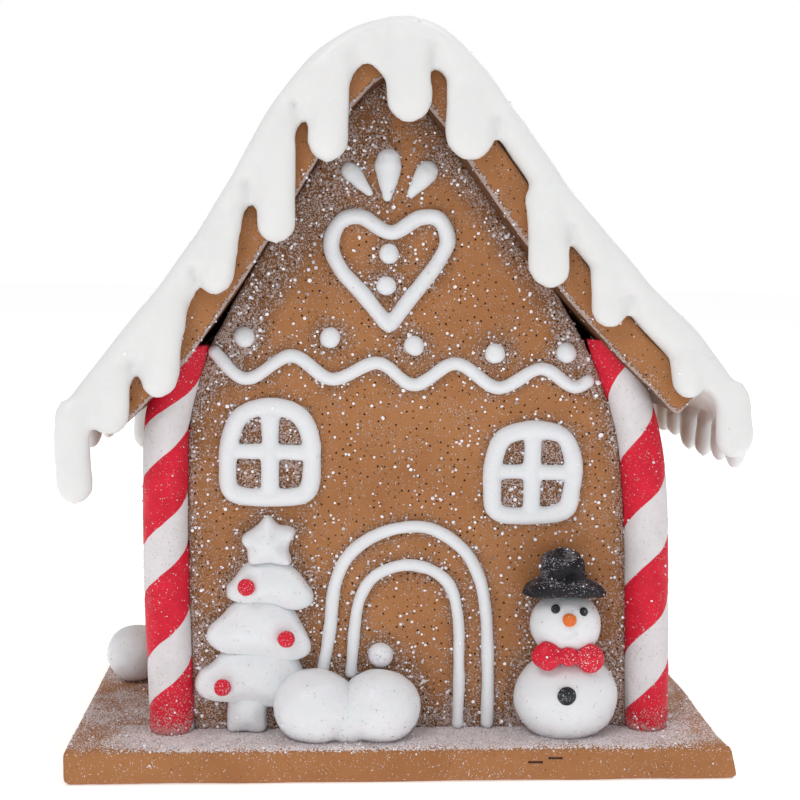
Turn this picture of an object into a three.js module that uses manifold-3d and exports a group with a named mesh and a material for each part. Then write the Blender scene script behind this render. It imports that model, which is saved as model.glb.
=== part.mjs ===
// A gingerbread house ornament of baked clay dough on its base board, with white icing.
// Millimetres, +Z up, +X to the right seen from the door, -Y towards the door side,
// and the origin under the middle of the board.
import * as THREE from 'three';
import { mergeVertices } from 'three/addons/utils/BufferGeometryUtils.js';
import Module from 'manifold-3d';

const wasm = await Module();
wasm.setup();

// Driving dimensions
const GAP = 0.3;                 // clearance between pieces that meet on curved or sloping faces
const BOARD = {
  left: -76,
  right: 74.6,
  half_depth: 55,
  height: 8,
  round: 1,
  front_corner: 74,              // the right edge is cut unevenly: X at the front corner,
  waist: [73.4, 10],             // X where it is narrowest and the distance from the front,
  full: 42,                      // and the distance from the front where it is wide again
  back_corner: -75.6,
};
const WALL = { front: -41, back: 41, thick: 7, side_outer: 52, side_inner: 45.5 };
const ROOF = { half_length: 50, thick: 8, steps: 10, reach: 30 };
const ICING = {
  half_length: 54.4,
  round: 1.4,
  middle: 3,                     // middle of the icing above the roof panels
  lip: 7,                        // lower edge over the back end faces, above the roof underside
  lip_rise: 2.4,
  drip_y: 53,
  drip_half_depth: 2.7,
  front_sides: 8,
  sides: 6,
};
const CANE = { radius: 5.15, y: -40.2, sides: 12, rings: 10 };
const PIPE_STEPS = 4;            // facets over the half-round section of a piped line
const SEED = 20;
const FAR = 300;                 // larger than the house, for the blocks that only cut

const COLOURS = {
  dough: 0xa9743f,
  icing: 0xeeeeec,
  red: 0xd3203a,
  black: 0x26262b,
  orange: 0xee8a20,
};

const house = new THREE.Group();

// General helpers

function material(colour, roughness) {
  return new THREE.MeshStandardMaterial({ color: COLOURS[colour], roughness, metalness: 0 });
}

function add(name, geometry, colour, roughness = 0.7) {
  const mesh = new THREE.Mesh(geometry, material(colour, roughness));
  mesh.name = name;
  house.add(mesh);
  return mesh;
}

function solidOf(geometry) {
  const plain = geometry.clone();
  plain.deleteAttribute('normal');
  plain.deleteAttribute('uv');
  const merged = mergeVertices(plain, 1e-4);
  return new wasm.Manifold(new wasm.Mesh({
    numProp: 3,
    vertProperties: new Float32Array(merged.attributes.position.array),
    triVerts: new Uint32Array(merged.index.array),
  }));
}

function geometryOf(solid) {
  const mesh = solid.getMesh();
  const geometry = new THREE.BufferGeometry();
  geometry.setAttribute('position', new THREE.BufferAttribute(mesh.vertProperties, 3));
  geometry.setIndex(new THREE.BufferAttribute(mesh.triVerts, 1));
  return geometry;
}

function cut(geometry, ...tools) {
  const result = tools.reduce((solid, tool) => solid.subtract(solidOf(tool)), solidOf(geometry));
  return geometryOf(result);
}

function join(geometries) {
  const result = geometries.map(solidOf).reduce((sum, solid) => sum.add(solid));
  return geometryOf(result);
}

function signedVolume(positions, index) {
  const [a, b, c] = [new THREE.Vector3(), new THREE.Vector3(), new THREE.Vector3()];
  let volume = 0;
  for (let i = 0; i < index.length; i += 3) {
    a.fromArray(positions, index[i] * 3);
    b.fromArray(positions, index[i + 1] * 3);
    c.fromArray(positions, index[i + 2] * 3);
    volume += a.dot(b.cross(c)) / 6;
  }
  return volume;
}

// A closed solid through rings that all have the same number of points. An open one is closed
// at both ends by facets round the middle of the end ring, or round a given tip.
function loft(rings, loop = false, tip = null) {
  const count = rings[0].length;
  const positions = rings.flat().flatMap((p) => [p.x, p.y, p.z]);
  const index = [];
  const spans = loop ? rings.length : rings.length - 1;
  for (let i = 0; i < spans; i += 1) {
    const here = i * count;
    const next = ((i + 1) % rings.length) * count;
    for (let j = 0; j < count; j += 1) {
      const k = (j + 1) % count;
      index.push(here + j, next + j, next + k);
      index.push(here + j, next + k, here + k);
    }
  }
  if (!loop) {
    for (const [ring, flip] of [[0, false], [rings.length - 1, true]]) {
      const centre = new THREE.Vector3();
      rings[ring].forEach((p) => centre.addScaledVector(p, 1 / count));
      if (tip && ring > 0) centre.copy(tip);
      const middle = positions.length / 3;
      positions.push(centre.x, centre.y, centre.z);
      for (let j = 0; j < count; j += 1) {
        const a = ring * count + j;
        const b = ring * count + (j + 1) % count;
        index.push(middle, flip ? b : a, flip ? a : b);
      }
    }
  }
  if (signedVolume(positions, index) < 0) index.reverse();
  const geometry = new THREE.BufferGeometry();
  geometry.setAttribute('position', new THREE.Float32BufferAttribute(positions, 3));
  geometry.setIndex(index);
  return geometry;
}

function outline(points) {
  return new THREE.Shape(points.map(([x, z]) => new THREE.Vector2(x, z)));
}

// An outline in the X-Z plane given depth along Y, from front to back
function upright(shape, front, back, options = {}) {
  const { round = 0, segments = 2, grow = 0 } = options;
  const depth = back - front - 2 * round;
  const geometry = new THREE.ExtrudeGeometry(shape, {
    depth,
    steps: options.steps ?? 1,
    curveSegments: 8,
    bevelEnabled: round > 0,
    bevelThickness: round + grow,
    bevelSize: round,
    bevelOffset: grow - round,
    bevelSegments: segments,
  });
  geometry.rotateX(Math.PI / 2);
  geometry.translate(0, back - round, 0);
  return geometry;
}

function ellipsoid([x, y, z], [rx, ry, rz], around = 16, down = 9) {
  const geometry = new THREE.SphereGeometry(1, around, down);
  geometry.rotateX(Math.PI / 2);
  geometry.scale(rx, ry, rz);
  geometry.translate(x, y, z);
  return geometry;
}

// Space taken by the front wall and by the board, for pieces that are pressed against them
const wallSpace = new THREE.BoxGeometry(FAR, FAR, FAR);
wallSpace.translate(0, WALL.front + FAR / 2, 0);
const boardSpace = new THREE.BoxGeometry(FAR, FAR, FAR);
boardSpace.translate(0, 0, BOARD.height - FAR / 2);

function pressed(geometry, ...others) {
  return cut(geometry, wallSpace, boardSpace, ...others);
}

function seededDraw(seed) {
  let state = seed;
  return (low, high) => {
    state = (state * 1103515245 + 12345) % 2147483648;
    return low + (high - low) * (state / 2147483648);
  };
}

// Board
function board() {
  const { left, right, waist, half_depth: half, height, round } = BOARD;
  const shape = outline([
    [left, -half],
    [BOARD.front_corner, -half],
    [waist[0], -half + waist[1]],
    [right, -half + BOARD.full],
    [right, half],
    [BOARD.back_corner, half],
  ]);
  const geometry = new THREE.ExtrudeGeometry(shape, {
    depth: height - 2 * round,
    bevelThickness: round,
    bevelSize: round,
    bevelOffset: -round,
    bevelSegments: 2,
  });
  geometry.translate(0, 0, round);
  return geometry;
}

// Roof: the underside of both panels, from the left eave over the ridge to the right eave
const ROOF_UNDERSIDE = [
  [-64.9, 77.9], [-57, 85.4], [-45.2, 99.0], [-31.3, 120.7], [-20.7, 138], [-13.2, 150],
  [-4, 156.8],
  [4.5, 148.7], [12.6, 138], [25.6, 120.4], [42.1, 100.4], [60.6, 82.6],
];
const underside = new THREE.SplineCurve(ROOF_UNDERSIDE.map(([x, z]) => new THREE.Vector2(x, z)));

// A point of the roof section at a height square to the underside
function roofPoint(u, height) {
  const point = underside.getPoint(u);
  const along = underside.getTangent(u);
  return [point.x - along.y * height, point.y + along.x * height];
}

// Where each panel is sampled, closer together towards the ridge, where it bends most
const RIDGE_U = 6 / (ROOF_UNDERSIDE.length - 1);
const RIDGE_SLIT = 0.004;

function panelSteps(eave, ridge) {
  return Array.from({ length: ROOF.steps + 1 }, (_, i) => ridge + (eave - ridge) * (i / ROOF.steps) ** 1.5);
}

const LEFT_STEPS = panelSteps(0, RIDGE_U - RIDGE_SLIT).reverse();
const RIGHT_STEPS = panelSteps(1, RIDGE_U + RIDGE_SLIT);

function roofLine(steps, height) {
  return steps.map((u) => roofPoint(u, height));
}

function roofPanel(steps) {
  const lower = roofLine(steps, 0);
  const upper = roofLine(steps, ROOF.thick).reverse();
  return upright(outline([...lower, ...upper]), -ROOF.half_length, ROOF.half_length);
}

function wholeRoofLine(height) {
  return roofLine([...LEFT_STEPS, ...RIGHT_STEPS], height);
}

// Everything above the underside of the roof, to trim what stands below it
function roofSpace(clearance) {
  const line = wholeRoofLine(-clearance);
  const [first, last] = [line[0], line.at(-1)];
  const [left, right] = [first[0] - ROOF.reach, last[0] + ROOF.reach];
  const eaves = [[left, first[1] - ROOF.reach], ...line, [right, last[1] - ROOF.reach]];
  return upright(outline([...eaves, [right, FAR], [left, FAR]]), -FAR / 2, FAR / 2);
}

// Candy cane columns: centre X by height
const CANE_LEFT = [
  [-53.4, BOARD.height], [-53.8, 22], [-54.6, 46], [-54.7, 68], [-54.2, 80], [-51.6, 91], [-49.6, 98],
  [-47.5, 104],
];
const CANE_RIGHT = [
  [57.7, BOARD.height], [57.4, 22], [56.8, 42], [55.9, 62], [54.2, 75.5], [52.0, 84], [49.2, 91],
  [46.4, 99], [43.6, 106],
];

// Walls. The gable walls end beside the canes, and their straight slopes leave a slit
// under the curved eaves.
const underRoof = roofSpace(GAP);

function gableWall(points, front, back) {
  return cut(upright(outline(points), front, back), underRoof);
}

const FRONT_SLOPES = [[32.6, 111.5], [12, 140], [-4, 162], [-20, 140], [-31.3, 120.3]];
const CANE_TOP = 99.5;           // height at which the slopes of the front wall start

// Edge of the front wall beside a cane, from the board up to where the slope starts
function besideCane(points, side, top) {
  const edge = new THREE.SplineCurve(points.map(([x, z]) => new THREE.Vector2(x, z))).getPoints(CANE.rings);
  const reach = CANE.radius + GAP;
  return edge.filter((centre) => centre.y < top).map((centre) => [centre.x - side * reach, centre.y]);
}

const BACK_WALL = [
  [-WALL.side_outer, BOARD.height], [WALL.side_outer, BOARD.height], [WALL.side_outer, 89], [43, 99],
  [-4, 165], [-43, 99], [-WALL.side_outer, 90],
];

function sideWall(side) {
  const outer = side * WALL.side_outer;
  const inner = side * WALL.side_inner;
  const points = [[outer, BOARD.height], [inner, BOARD.height], [inner, 110], [outer, 110]];
  const shape = outline(side < 0 ? points : points.reverse());
  return cut(upright(shape, WALL.front + WALL.thick, WALL.back - WALL.thick), underRoof);
}

const CANE_ENDS = { left: 97, right: 99.2 };    // heights where the columns stop under the roof

function cane(points, top) {
  const curve = new THREE.SplineCurve(points.map(([x, z]) => new THREE.Vector2(x, z)));
  const rings = curve.getPoints(CANE.rings).map((centre) => {
    const ring = [];
    for (let j = 0; j < CANE.sides; j += 1) {
      const angle = (2 * Math.PI * j) / CANE.sides;
      const x = centre.x + CANE.radius * Math.cos(angle);
      ring.push(new THREE.Vector3(x, CANE.y + CANE.radius * Math.sin(angle), centre.y));
    }
    return ring;
  });
  const above = outline([[-FAR, top], [FAR, top], [FAR, FAR], [-FAR, FAR]]);
  return cut(loft(rings), underRoof, upright(above, -FAR / 2, FAR / 2));
}

// Roof icing: outer line of the section, from the left eave to the right eave
const ICING_OUTER = [
  [-77.6, 77], [-75.6, 83.4], [-71, 90.4], [-62, 101.2], [-50.9, 115.4], [-41.4, 130.5],
  [-30.4, 150.4], [-18.4, 163.6], [-5, 169], [8.4, 165.2], [22.4, 149.6], [37.2, 129.2],
  [53.6, 111.4], [66.4, 98.6], [73.6, 88.4], [77.8, 78],
];
const ICING_LIP = { left: [-73.6, 77.4], right: [73.6, 78], across: 1.4, down: 1.6 };
const ICING_STEPS = 26;

function icingSheet() {
  const outer = new THREE.SplineCurve(ICING_OUTER.map(([x, z]) => new THREE.Vector2(x, z)));
  const outside = outer.getPoints(ICING_STEPS).map((p) => [p.x, p.y]);
  const inside = wholeRoofLine(ROOF.thick + GAP).reverse();
  const [right, left] = [inside[0], inside.at(-1)];
  const points = [
    ...outside,
    ICING_LIP.right,
    [right[0] + ICING_LIP.across, right[1] - ICING_LIP.down],
    ...inside,
    [left[0] - ICING_LIP.across, left[1] - ICING_LIP.down],
    ICING_LIP.left,
  ];
  return upright(outline(points.reverse()), -ICING.half_length, ICING.half_length, {
    round: ICING.round,
    segments: 2,
  });
}

// Where the front drips part from each other, from the left eave to the right eave
const NOTCHES = [
  [-59.1, 89], [-45.8, 110.1], [-34.6, 128.8], [-24.1, 145.2], [-10.9, 156.5],
  [4.2, 158.5], [18.3, 143.2], [34.8, 120.4], [48.5, 105],
];

// Thick edge of the icing over the end faces of the roof panels, down to a lower line
function icingLip(lower, front, back) {
  const upper = wholeRoofLine(ROOF.thick + ICING.lip_rise).reverse();
  return upright(outline([...lower, ...upper]), front, back);
}

// A drop of icing that runs from a root to a round tip
function drip(root, tip, halfWidth, halfDepth, sides) {
  const start = new THREE.Vector3(...root);
  const end = new THREE.Vector3(...tip);
  const length = start.distanceTo(end);
  const bulb = halfWidth / length;
  const nearTip = 1 - 0.3 * bulb;
  const stations = [
    [0, 0.6, 0.3],
    [0.2, 1.15, 0.75],
    [0.5, 0.94, 0.95],
    [1 - bulb, 1, 1],
    [nearTip, 0.72, 0.72],
  ];
  const rings = stations.map(([t, width, depth]) => {
    const centre = start.clone().lerp(end, t);
    const ring = [];
    for (let j = 0; j < sides; j += 1) {
      const angle = (2 * Math.PI * (j + 0.5)) / sides;
      const x = centre.x + halfWidth * width * Math.cos(angle);
      const y = centre.y + halfDepth * depth * Math.sin(angle);
      ring.push(new THREE.Vector3(x, y, centre.z));
    }
    return ring;
  });
  return loft(rings, false, end);
}

// Height of the middle of the icing above a given X
function icingMiddle(x) {
  let [low, high] = [0, 1];
  const middle = ROOF.thick + ICING.middle;
  while (high - low > 1e-6) {
    const half = (low + high) / 2;
    if (roofPoint(half, middle)[0] < x) low = half;
    else high = half;
  }
  return roofPoint(low, middle)[1];
}

// Drips of the front gable: X at the tip, half width, height of the tip, X at the root
const FRONT_DRIPS = [
  [-72.9, 3.9, 62.6, -74], [-65.7, 4.1, 78.0, -63], [-55.1, 3.9, 86.0, -50], [-42.8, 3.4, 108.8, -37.5],
  [-29.3, 4.5, 119.6, -28], [-18.9, 4.7, 137.5, -17.4], [-1.1, 5.1, 145.9, -2], [12.4, 5.2, 138.0, 9.8],
  [30.5, 4.5, 110.7, 26.8], [44.1, 3.8, 101.9, 40.4], [62.2, 3.2, 86.8, 57], [72.8, 3.9, 73.4, 71],
];
// Drips of the back gable and of the eaves: ranges that their sizes are drawn from
const BACK_DRIPS = {
  first: -70,
  last: 72,
  spacing: [10.5, 14.5],
  length: [14, 34],
  half_width: [3.2, 4.6],
};
const EAVE_DRIPS = {
  left: -75.3,
  right: 75.4,
  first: -45,
  last: 47,
  spacing: [11, 17],
  root: 82,
  tip: [69, 75.5],
  half_width: 2.3,
  half_depth: [3.2, 4.8],
};

function roofIcing() {
  const draw = seededDraw(SEED);
  const overhang = ROOF.half_length + GAP;
  const lipEnd = ICING.half_length - 0.6;
  const plainLip = wholeRoofLine(ICING.lip);
  const frontLip = [plainLip[0], ...NOTCHES, plainLip.at(-1)];
  const pieces = [
    icingSheet(),
    icingLip(frontLip, -lipEnd, -overhang),
    icingLip(plainLip, overhang, lipEnd),
  ];
  for (const [x, halfWidth, tip, rootX] of FRONT_DRIPS) {
    const root = [rootX, -ICING.drip_y, icingMiddle(rootX)];
    pieces.push(drip(root, [x, -ICING.drip_y, tip], halfWidth, ICING.drip_half_depth, ICING.front_sides));
  }
  for (let x = BACK_DRIPS.first; x < BACK_DRIPS.last; x += draw(...BACK_DRIPS.spacing)) {
    const root = icingMiddle(x);
    const tip = root - draw(...BACK_DRIPS.length);
    const end = [x + draw(-1, 1), ICING.drip_y, tip];
    const halfWidth = draw(...BACK_DRIPS.half_width);
    pieces.push(drip([x, ICING.drip_y, root], end, halfWidth, ICING.drip_half_depth, ICING.sides));
  }
  for (const edge of [EAVE_DRIPS.left, EAVE_DRIPS.right]) {
    for (let y = EAVE_DRIPS.first; y < EAVE_DRIPS.last; y += draw(...EAVE_DRIPS.spacing)) {
      const end = [edge + draw(-0.4, 0.4), y, draw(...EAVE_DRIPS.tip)];
      const root = [edge, y, EAVE_DRIPS.root];
      pieces.push(drip(root, end, EAVE_DRIPS.half_width, draw(...EAVE_DRIPS.half_depth), ICING.sides));
    }
  }
  return join(pieces);
}

// Half width and height of the piped lines
const PIPING = {
  zigzag: [1.55, 1.8],
  heart: [1.9, 2.2],
  arch_outer: [1.5, 1.8],
  arch_inner: [1.4, 1.7],
};

// Piped lines on the front wall, half round, along a path of [X, Z] points. A loop closes on
// itself, and an open line has round ends.
function pipe(points, halfWidth, height, { loop = false, divisions = 24 } = {}) {
  const path = points.map(([x, z]) => new THREE.Vector3(x, 0, z));
  const curve = new THREE.CatmullRomCurve3(path, loop, 'centripetal');
  const end = halfWidth / curve.getLength();
  const stations = Array.from({ length: divisions }, (_, i) => [i / divisions, 1]);
  if (!loop) {
    stations.splice(0, 1, [0, 0.4], [0.25 * end, 0.75], [end, 1]);
    stations.push([1 - end, 1], [1 - 0.25 * end, 0.75], [1, 0.4]);
  }
  const rings = stations.map(([t, size]) => halfRound(curve, t, halfWidth * size, height * size));
  return loft(rings, loop);
}

// Half-round section on the front wall, square to a path
function halfRound(curve, t, halfWidth, height) {
  const centre = curve.getPointAt(t);
  const along = curve.getTangentAt(t);
  return Array.from({ length: PIPE_STEPS + 1 }, (_, j) => {
    const angle = (Math.PI * j) / PIPE_STEPS;
    const across = halfWidth * Math.cos(angle);
    const onWall = j === 0 || j === PIPE_STEPS;
    const y = onWall ? WALL.front : WALL.front - height * Math.sin(angle);
    return new THREE.Vector3(centre.x - along.z * across, y, centre.z + along.x * across);
  });
}

// A round drop of icing on the front wall
function dot([x, z], radius, height) {
  const profile = [new THREE.Vector2(0, 0)];
  const steps = 3;
  for (let i = 0; i <= steps; i += 1) {
    const angle = (Math.PI / 2) * (i / steps);
    profile.push(new THREE.Vector2(i === steps ? 0 : radius * Math.cos(angle), height * Math.sin(angle)));
  }
  const geometry = new THREE.LatheGeometry(profile, 10);
  geometry.rotateX(Math.PI);
  geometry.translate(x, WALL.front, z);
  return geometry;
}

const ZIGZAG = [
  [-44.7, 96.7], [-36.6, 89.6], [-26.2, 94.9], [-17.2, 89.6], [-6.6, 93.4], [1.6, 88.4], [11, 93.4],
  [21, 87.9], [31, 92.4], [38.6, 88.2], [43, 90.4],
];
// Round drops: radius and height, and where they sit
const DOT = [2.4, 2];
const HEART_DOT = [2.3, 2];
const KNOB = [2.8, 3];
const DOTS = [[-37, 99], [-17.6, 99], [1.5, 97.4], [20, 95.8], [36.6, 96.1]];
const HEART_DOTS = [[-4.4, 118.1], [-5, 110.9]];
const HEART = [
  [-4.3, 102.4], [-10.4, 109.3], [-15.6, 114.9], [-17.5, 120.4], [-15.2, 125.4], [-11, 126.3],
  [-4.1, 122.8], [2.6, 126.3], [6.6, 126.1], [8.8, 121.4], [6.6, 116.2], [1, 109],
];
const TEARDROPS = [
  { round: [-14.8, 138.2], tip: [-8.4, 131], half_width: 1.9 },
  { round: [-4.8, 141.8], tip: [-4.9, 129.6], half_width: 3 },
  { round: [5.6, 138.8], tip: [-0.2, 130.6], half_width: 2.3 },
];

// A drop that is round at one end and runs out to a point
function teardrop({ round, tip, half_width: widest }) {
  const curve = new THREE.LineCurve3(
    new THREE.Vector3(round[0], 0, round[1]),
    new THREE.Vector3(tip[0], 0, tip[1]),
  );
  const stations = [[0, 0.37], [0.12, 0.81], [0.32, 1], [0.55, 0.81], [0.8, 0.44], [1, 0.19]];
  return loft(stations.map(([t, share]) => halfRound(curve, t, share * widest, 0.75 * share * widest)));
}

// Windows: a rounded frame with an upright and a crossbar in two halves
const WINDOW = { frame: 2.1, bar: 1.6, upright: 1.9, height: 2.2, bar_height: 1.8 };
const WINDOWS = {
  left: {
    frame: [
      [-41.6, 62.4], [-40.8, 75], [-38.6, 81.4], [-31, 83.6], [-23.6, 81.2], [-21.6, 74], [-21.6, 62.6],
      [-31, 61.6],
    ],
    upright: [[-31.2, 64], [-31.2, 81.2]],
    bars: [[[-38.4, 73.2], [-33.5, 73.6]], [[-28.9, 73.4], [-24, 73]]],
  },
  right: {
    frame: [
      [19.6, 58.2], [19.6, 70], [21.4, 77], [29, 78.4], [37.2, 77.2], [38.8, 70], [38.8, 58.4],
      [29.2, 57.4],
    ],
    upright: [[29.2, 59.8], [29.2, 76]],
    bars: [[[22, 68.8], [26.9, 68.8]], [[31.5, 68.8], [36.4, 68.6]]],
  },
};

// Door: an outer and an inner arch of piping, and a knob
const ARCH_OUTER = [
  [-18.3, 24.2], [-17.2, 31], [-15.9, 42.6], [-13.2, 48.6], [-7.6, 53.2], [0, 55.6], [6.6, 55],
  [13.6, 50.2], [17.2, 44.2], [19, 36], [19.8, 20], [19.8, BOARD.height + GAP],
];
const KNOB_PLACE = [-5.3, 25.9];
const ARCH_INNER = [
  [-11.9, 24.6], [-11.4, 31.7], [-10.3, 38.6], [-7, 44], [-0.8, 46.6], [5.4, 45.9], [10.2, 42.4],
  [12.4, 35.6], [13, 24], [12.9, BOARD.height + GAP],
];

// Snowballs: centre and radii. The two in front are squeezed flat against each other.
const SNOWBALLS = {
  snowball_left: [[-20.2, -46.4, 15.6], [9.8, 8.6, 8.7]],
  snowball_right: [[-5.7, -46.6, 15.5], [9.6, 8.4, 8.6]],
};
const SQUEEZE_X = -12.9;
const SIDE_BALL = [[-66.6, -1, 14.9], [7.3, 7.6, 7.4]];

// Tree: tiers from the top down, each a soft outline that the one above laps over
const TREE_FRONT = WALL.front - 6;
const TREE_TIERS = [
  [[-41.1, 41.3], [-39, 44.4], [-36.2, 47.4], [-31.1, 48.2], [-26.2, 46.8], [-22.8, 43.4], [-20.8, 39.8],
    [-21.6, 37.6], [-24.4, 36.6], [-29, 37.6], [-34, 38], [-38.6, 38.2], [-40.7, 39.4]],
  [[-45.3, 31], [-43.7, 33.8], [-40.6, 36.4], [-37.6, 38.8], [-32, 39.6], [-26.4, 37.6], [-23.7, 33.4],
    [-21.3, 28.8], [-21.5, 26.4], [-24, 25.1], [-29, 24.7], [-35, 25.3], [-42.3, 26.9], [-45, 29]],
  [[-48.2, 19.2], [-47, 22], [-43.9, 24.2], [-41.6, 26.9], [-34, 27.4], [-26, 26.4], [-23.4, 23],
    [-21.6, 19.4], [-22.3, 15], [-30.3, 13.6], [-35, 14.2], [-39.6, 14.7], [-44.6, 15.2], [-47.4, 16.6]],
];
const TRUNK = [
  [-40.4, 6], [-36, 5.6], [-31.7, 6], [-31.4, 12], [-32, 17], [-36, 17.4], [-40, 17], [-40.6, 12],
];
const TRUNK_DEPTH = 5;
const TREE_BALL = { radii: [1.95, 1.6, 1.95], sunk: 0.4 };
const TREE_BALLS = [[-36.1, 42.9], [-27, 30.9], [-41.4, 19.8]];
const STAR = [
  [-31.6, 58.6], [-33.8, 55.8], [-37.4, 53.1], [-36.2, 51], [-35.8, 47.4], [-30.8, 47.4], [-26, 47.2],
  [-26.8, 51.2], [-25.2, 55.1], [-29, 56],
];

// A soft lump of icing on the front wall: full at its rim, low towards the wall and domed in front
function pillow(points, depth, options = {}) {
  const { divisions = 20, round = 2.2, grow = 0 } = options;
  const path = points.map(([x, z]) => new THREE.Vector3(x, 0, z));
  const curve = new THREE.CatmullRomCurve3(path, true, 'centripetal');
  const spin = Math.sign(outlineArea(points));
  const middle = path.reduce((sum, p) => sum.addScaledVector(p, 1 / path.length), new THREE.Vector3());
  const stations = [[0, 0.5], [0.3, 0.05], [0.6, 0], [0.84, 0.4], [0.97, 1]];
  const rings = stations.map(([out, inset], level) => {
    const ring = [];
    for (let i = 0; i < divisions; i += 1) {
      const centre = curve.getPointAt(i / divisions);
      const along = curve.getTangentAt(i / divisions);
      const inward = middle.clone().sub(centre).setLength(inset * round);
      const x = centre.x + inward.x + spin * grow * along.z;
      const z = centre.z + inward.z - spin * grow * along.x;
      ring.push(new THREE.Vector3(x, WALL.front - out * depth + (level === 0 ? grow : -grow), z));
    }
    return ring;
  });
  const front = new THREE.Vector3();
  rings.at(-1).forEach((p) => front.addScaledVector(p, 1 / divisions));
  front.y = WALL.front - depth - grow;
  return loft(rings, false, front);
}

function outlineArea(points) {
  return points.reduce((area, [x, z], i) => {
    const [nextX, nextZ] = points[(i + 1) % points.length];
    return area + (x * nextZ - nextX * z) / 2;
  }, 0);
}

function treeTier(level, grow = 0) {
  return pillow(TREE_TIERS[level], WALL.front - TREE_FRONT, { grow });
}

function star(grow = 0) {
  return pillow(STAR, WALL.front - TREE_FRONT + 0.5, { divisions: 30, round: 1.3, grow });
}

function trunk() {
  return pillow(TRUNK, TRUNK_DEPTH, { divisions: 14, round: 1.4 });
}

// Snowman: centres and radii of its rounded pieces
const SNOWMAN = {
  body: [[37.5, -44.8, 16.6], [12.1, 8.6, 10.4]],
  head: [[37.2, -45.6, 33.8], [8.2, 7.4, 7.6]],
  brim: [[36.2, -46.4, 42.9], [9.5, 7.6, 2.4]],
  bow_left: [[32.2, -51, 27.4], [3.8, 2.4, 3.5]],
  bow_right: [[42.4, -51, 26.9], [3.6, 2.4, 3.4]],
  knot: [[37.3, -51.6, 27.4], [1.9, 2.2, 2]],
  nose: [[36.8, -53.1, 36.4], [1.6, 1.6, 1.5]],
  eye_left: [[33.8, -51.2, 38.6], [1.05, 1, 1.05]],
  eye_right: [[40.2, -51.2, 38], [1.05, 1, 1.05]],
  button: [[36.8, -53.2, 18.9], [2.1, 1.1, 2.1]],
};

function grown([centre, radii], grow) {
  return [centre, radii.map((radius) => radius + grow)];
}

function snowmanPiece(name, grow = 0, around = 14, down = 9) {
  return ellipsoid(...grown(SNOWMAN[name], grow), around, down);
}

const HAT = {
  profile: [[0, 0], [4.5, 0], [5, 2], [5, 4.6], [4.2, 6.2], [2.6, 6.8], [1.2, 6], [0, 5.6]],
  sides: 12,
  above_brim: 1.5,
};

function hatCrown() {
  const [x, y, z] = SNOWMAN.brim[0];
  const profile = HAT.profile.map(([r, h]) => new THREE.Vector2(r, h));
  const geometry = new THREE.LatheGeometry(profile, HAT.sides);
  geometry.rotateX(Math.PI / 2);
  geometry.translate(x, y, z + HAT.above_brim);
  return cut(geometry, wallSpace, snowmanPiece('brim', GAP));
}

// Assembly
add('base_board', board(), 'dough', 0.85);
const frontWall = [
  ...besideCane(CANE_RIGHT, 1, CANE_TOP),
  ...FRONT_SLOPES,
  ...besideCane(CANE_LEFT, -1, CANE_TOP).reverse(),
];
add('front_wall', gableWall(frontWall, WALL.front, WALL.front + WALL.thick), 'dough', 0.85);
add('back_wall', gableWall(BACK_WALL, WALL.back - WALL.thick, WALL.back), 'dough', 0.85);
add('left_wall', sideWall(-1), 'dough', 0.85);
add('right_wall', sideWall(1), 'dough', 0.85);
add('roof_panel_left', roofPanel(LEFT_STEPS), 'dough', 0.85);
add('roof_panel_right', roofPanel(RIGHT_STEPS), 'dough', 0.85);
add('roof_icing', roofIcing(), 'icing', 0.45);
add('cane_left', cane(CANE_LEFT, CANE_ENDS.left), 'red', 0.6);
add('cane_right', cane(CANE_RIGHT, CANE_ENDS.right), 'red', 0.6);

add('zigzag', pipe(ZIGZAG, ...PIPING.zigzag, { divisions: 32 }), 'icing', 0.5);
DOTS.forEach((centre, i) => add(`dot_${i + 1}`, dot(centre, ...DOT), 'icing', 0.5));
add('heart', pipe(HEART, ...PIPING.heart, { loop: true, divisions: 32 }), 'icing', 0.5);
HEART_DOTS.forEach((centre, i) => add(`heart_dot_${i + 1}`, dot(centre, ...HEART_DOT), 'icing', 0.5));
TEARDROPS.forEach((drop, i) => add(`teardrop_${i + 1}`, teardrop(drop), 'icing', 0.5));

for (const [side, window] of Object.entries(WINDOWS)) {
  const name = `window_${side}`;
  const frame = pipe(window.frame, WINDOW.frame, WINDOW.height, { loop: true, divisions: 28 });
  add(`${name}_frame`, frame, 'icing', 0.5);
  const bar = pipe(window.upright, WINDOW.upright, WINDOW.height, { divisions: 3 });
  add(`${name}_upright`, bar, 'icing', 0.5);
  window.bars.forEach((points, i) => {
    const half = pipe(points, WINDOW.bar, WINDOW.bar_height, { divisions: 2 });
    add(`${name}_bar_${i + 1}`, half, 'icing', 0.5);
  });
}

add('arch_outer', pipe(ARCH_OUTER, ...PIPING.arch_outer, { divisions: 20 }), 'icing', 0.5);
add('arch_inner', pipe(ARCH_INNER, ...PIPING.arch_inner, { divisions: 18 }), 'icing', 0.5);
add('door_knob', dot(KNOB_PLACE, ...KNOB), 'icing', 0.5);

for (const [name, [centre, radii]] of Object.entries(SNOWBALLS)) {
  const side = Math.sign(centre[0] - SQUEEZE_X);
  const beyond = new THREE.BoxGeometry(FAR, FAR, FAR);
  beyond.translate(SQUEEZE_X - side * (FAR / 2 - GAP / 2), 0, 0);
  add(name, pressed(ellipsoid(centre, radii), beyond), 'icing', 0.5);
}
add('snowball_side', cut(ellipsoid(...SIDE_BALL), boardSpace), 'icing', 0.5);

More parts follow.
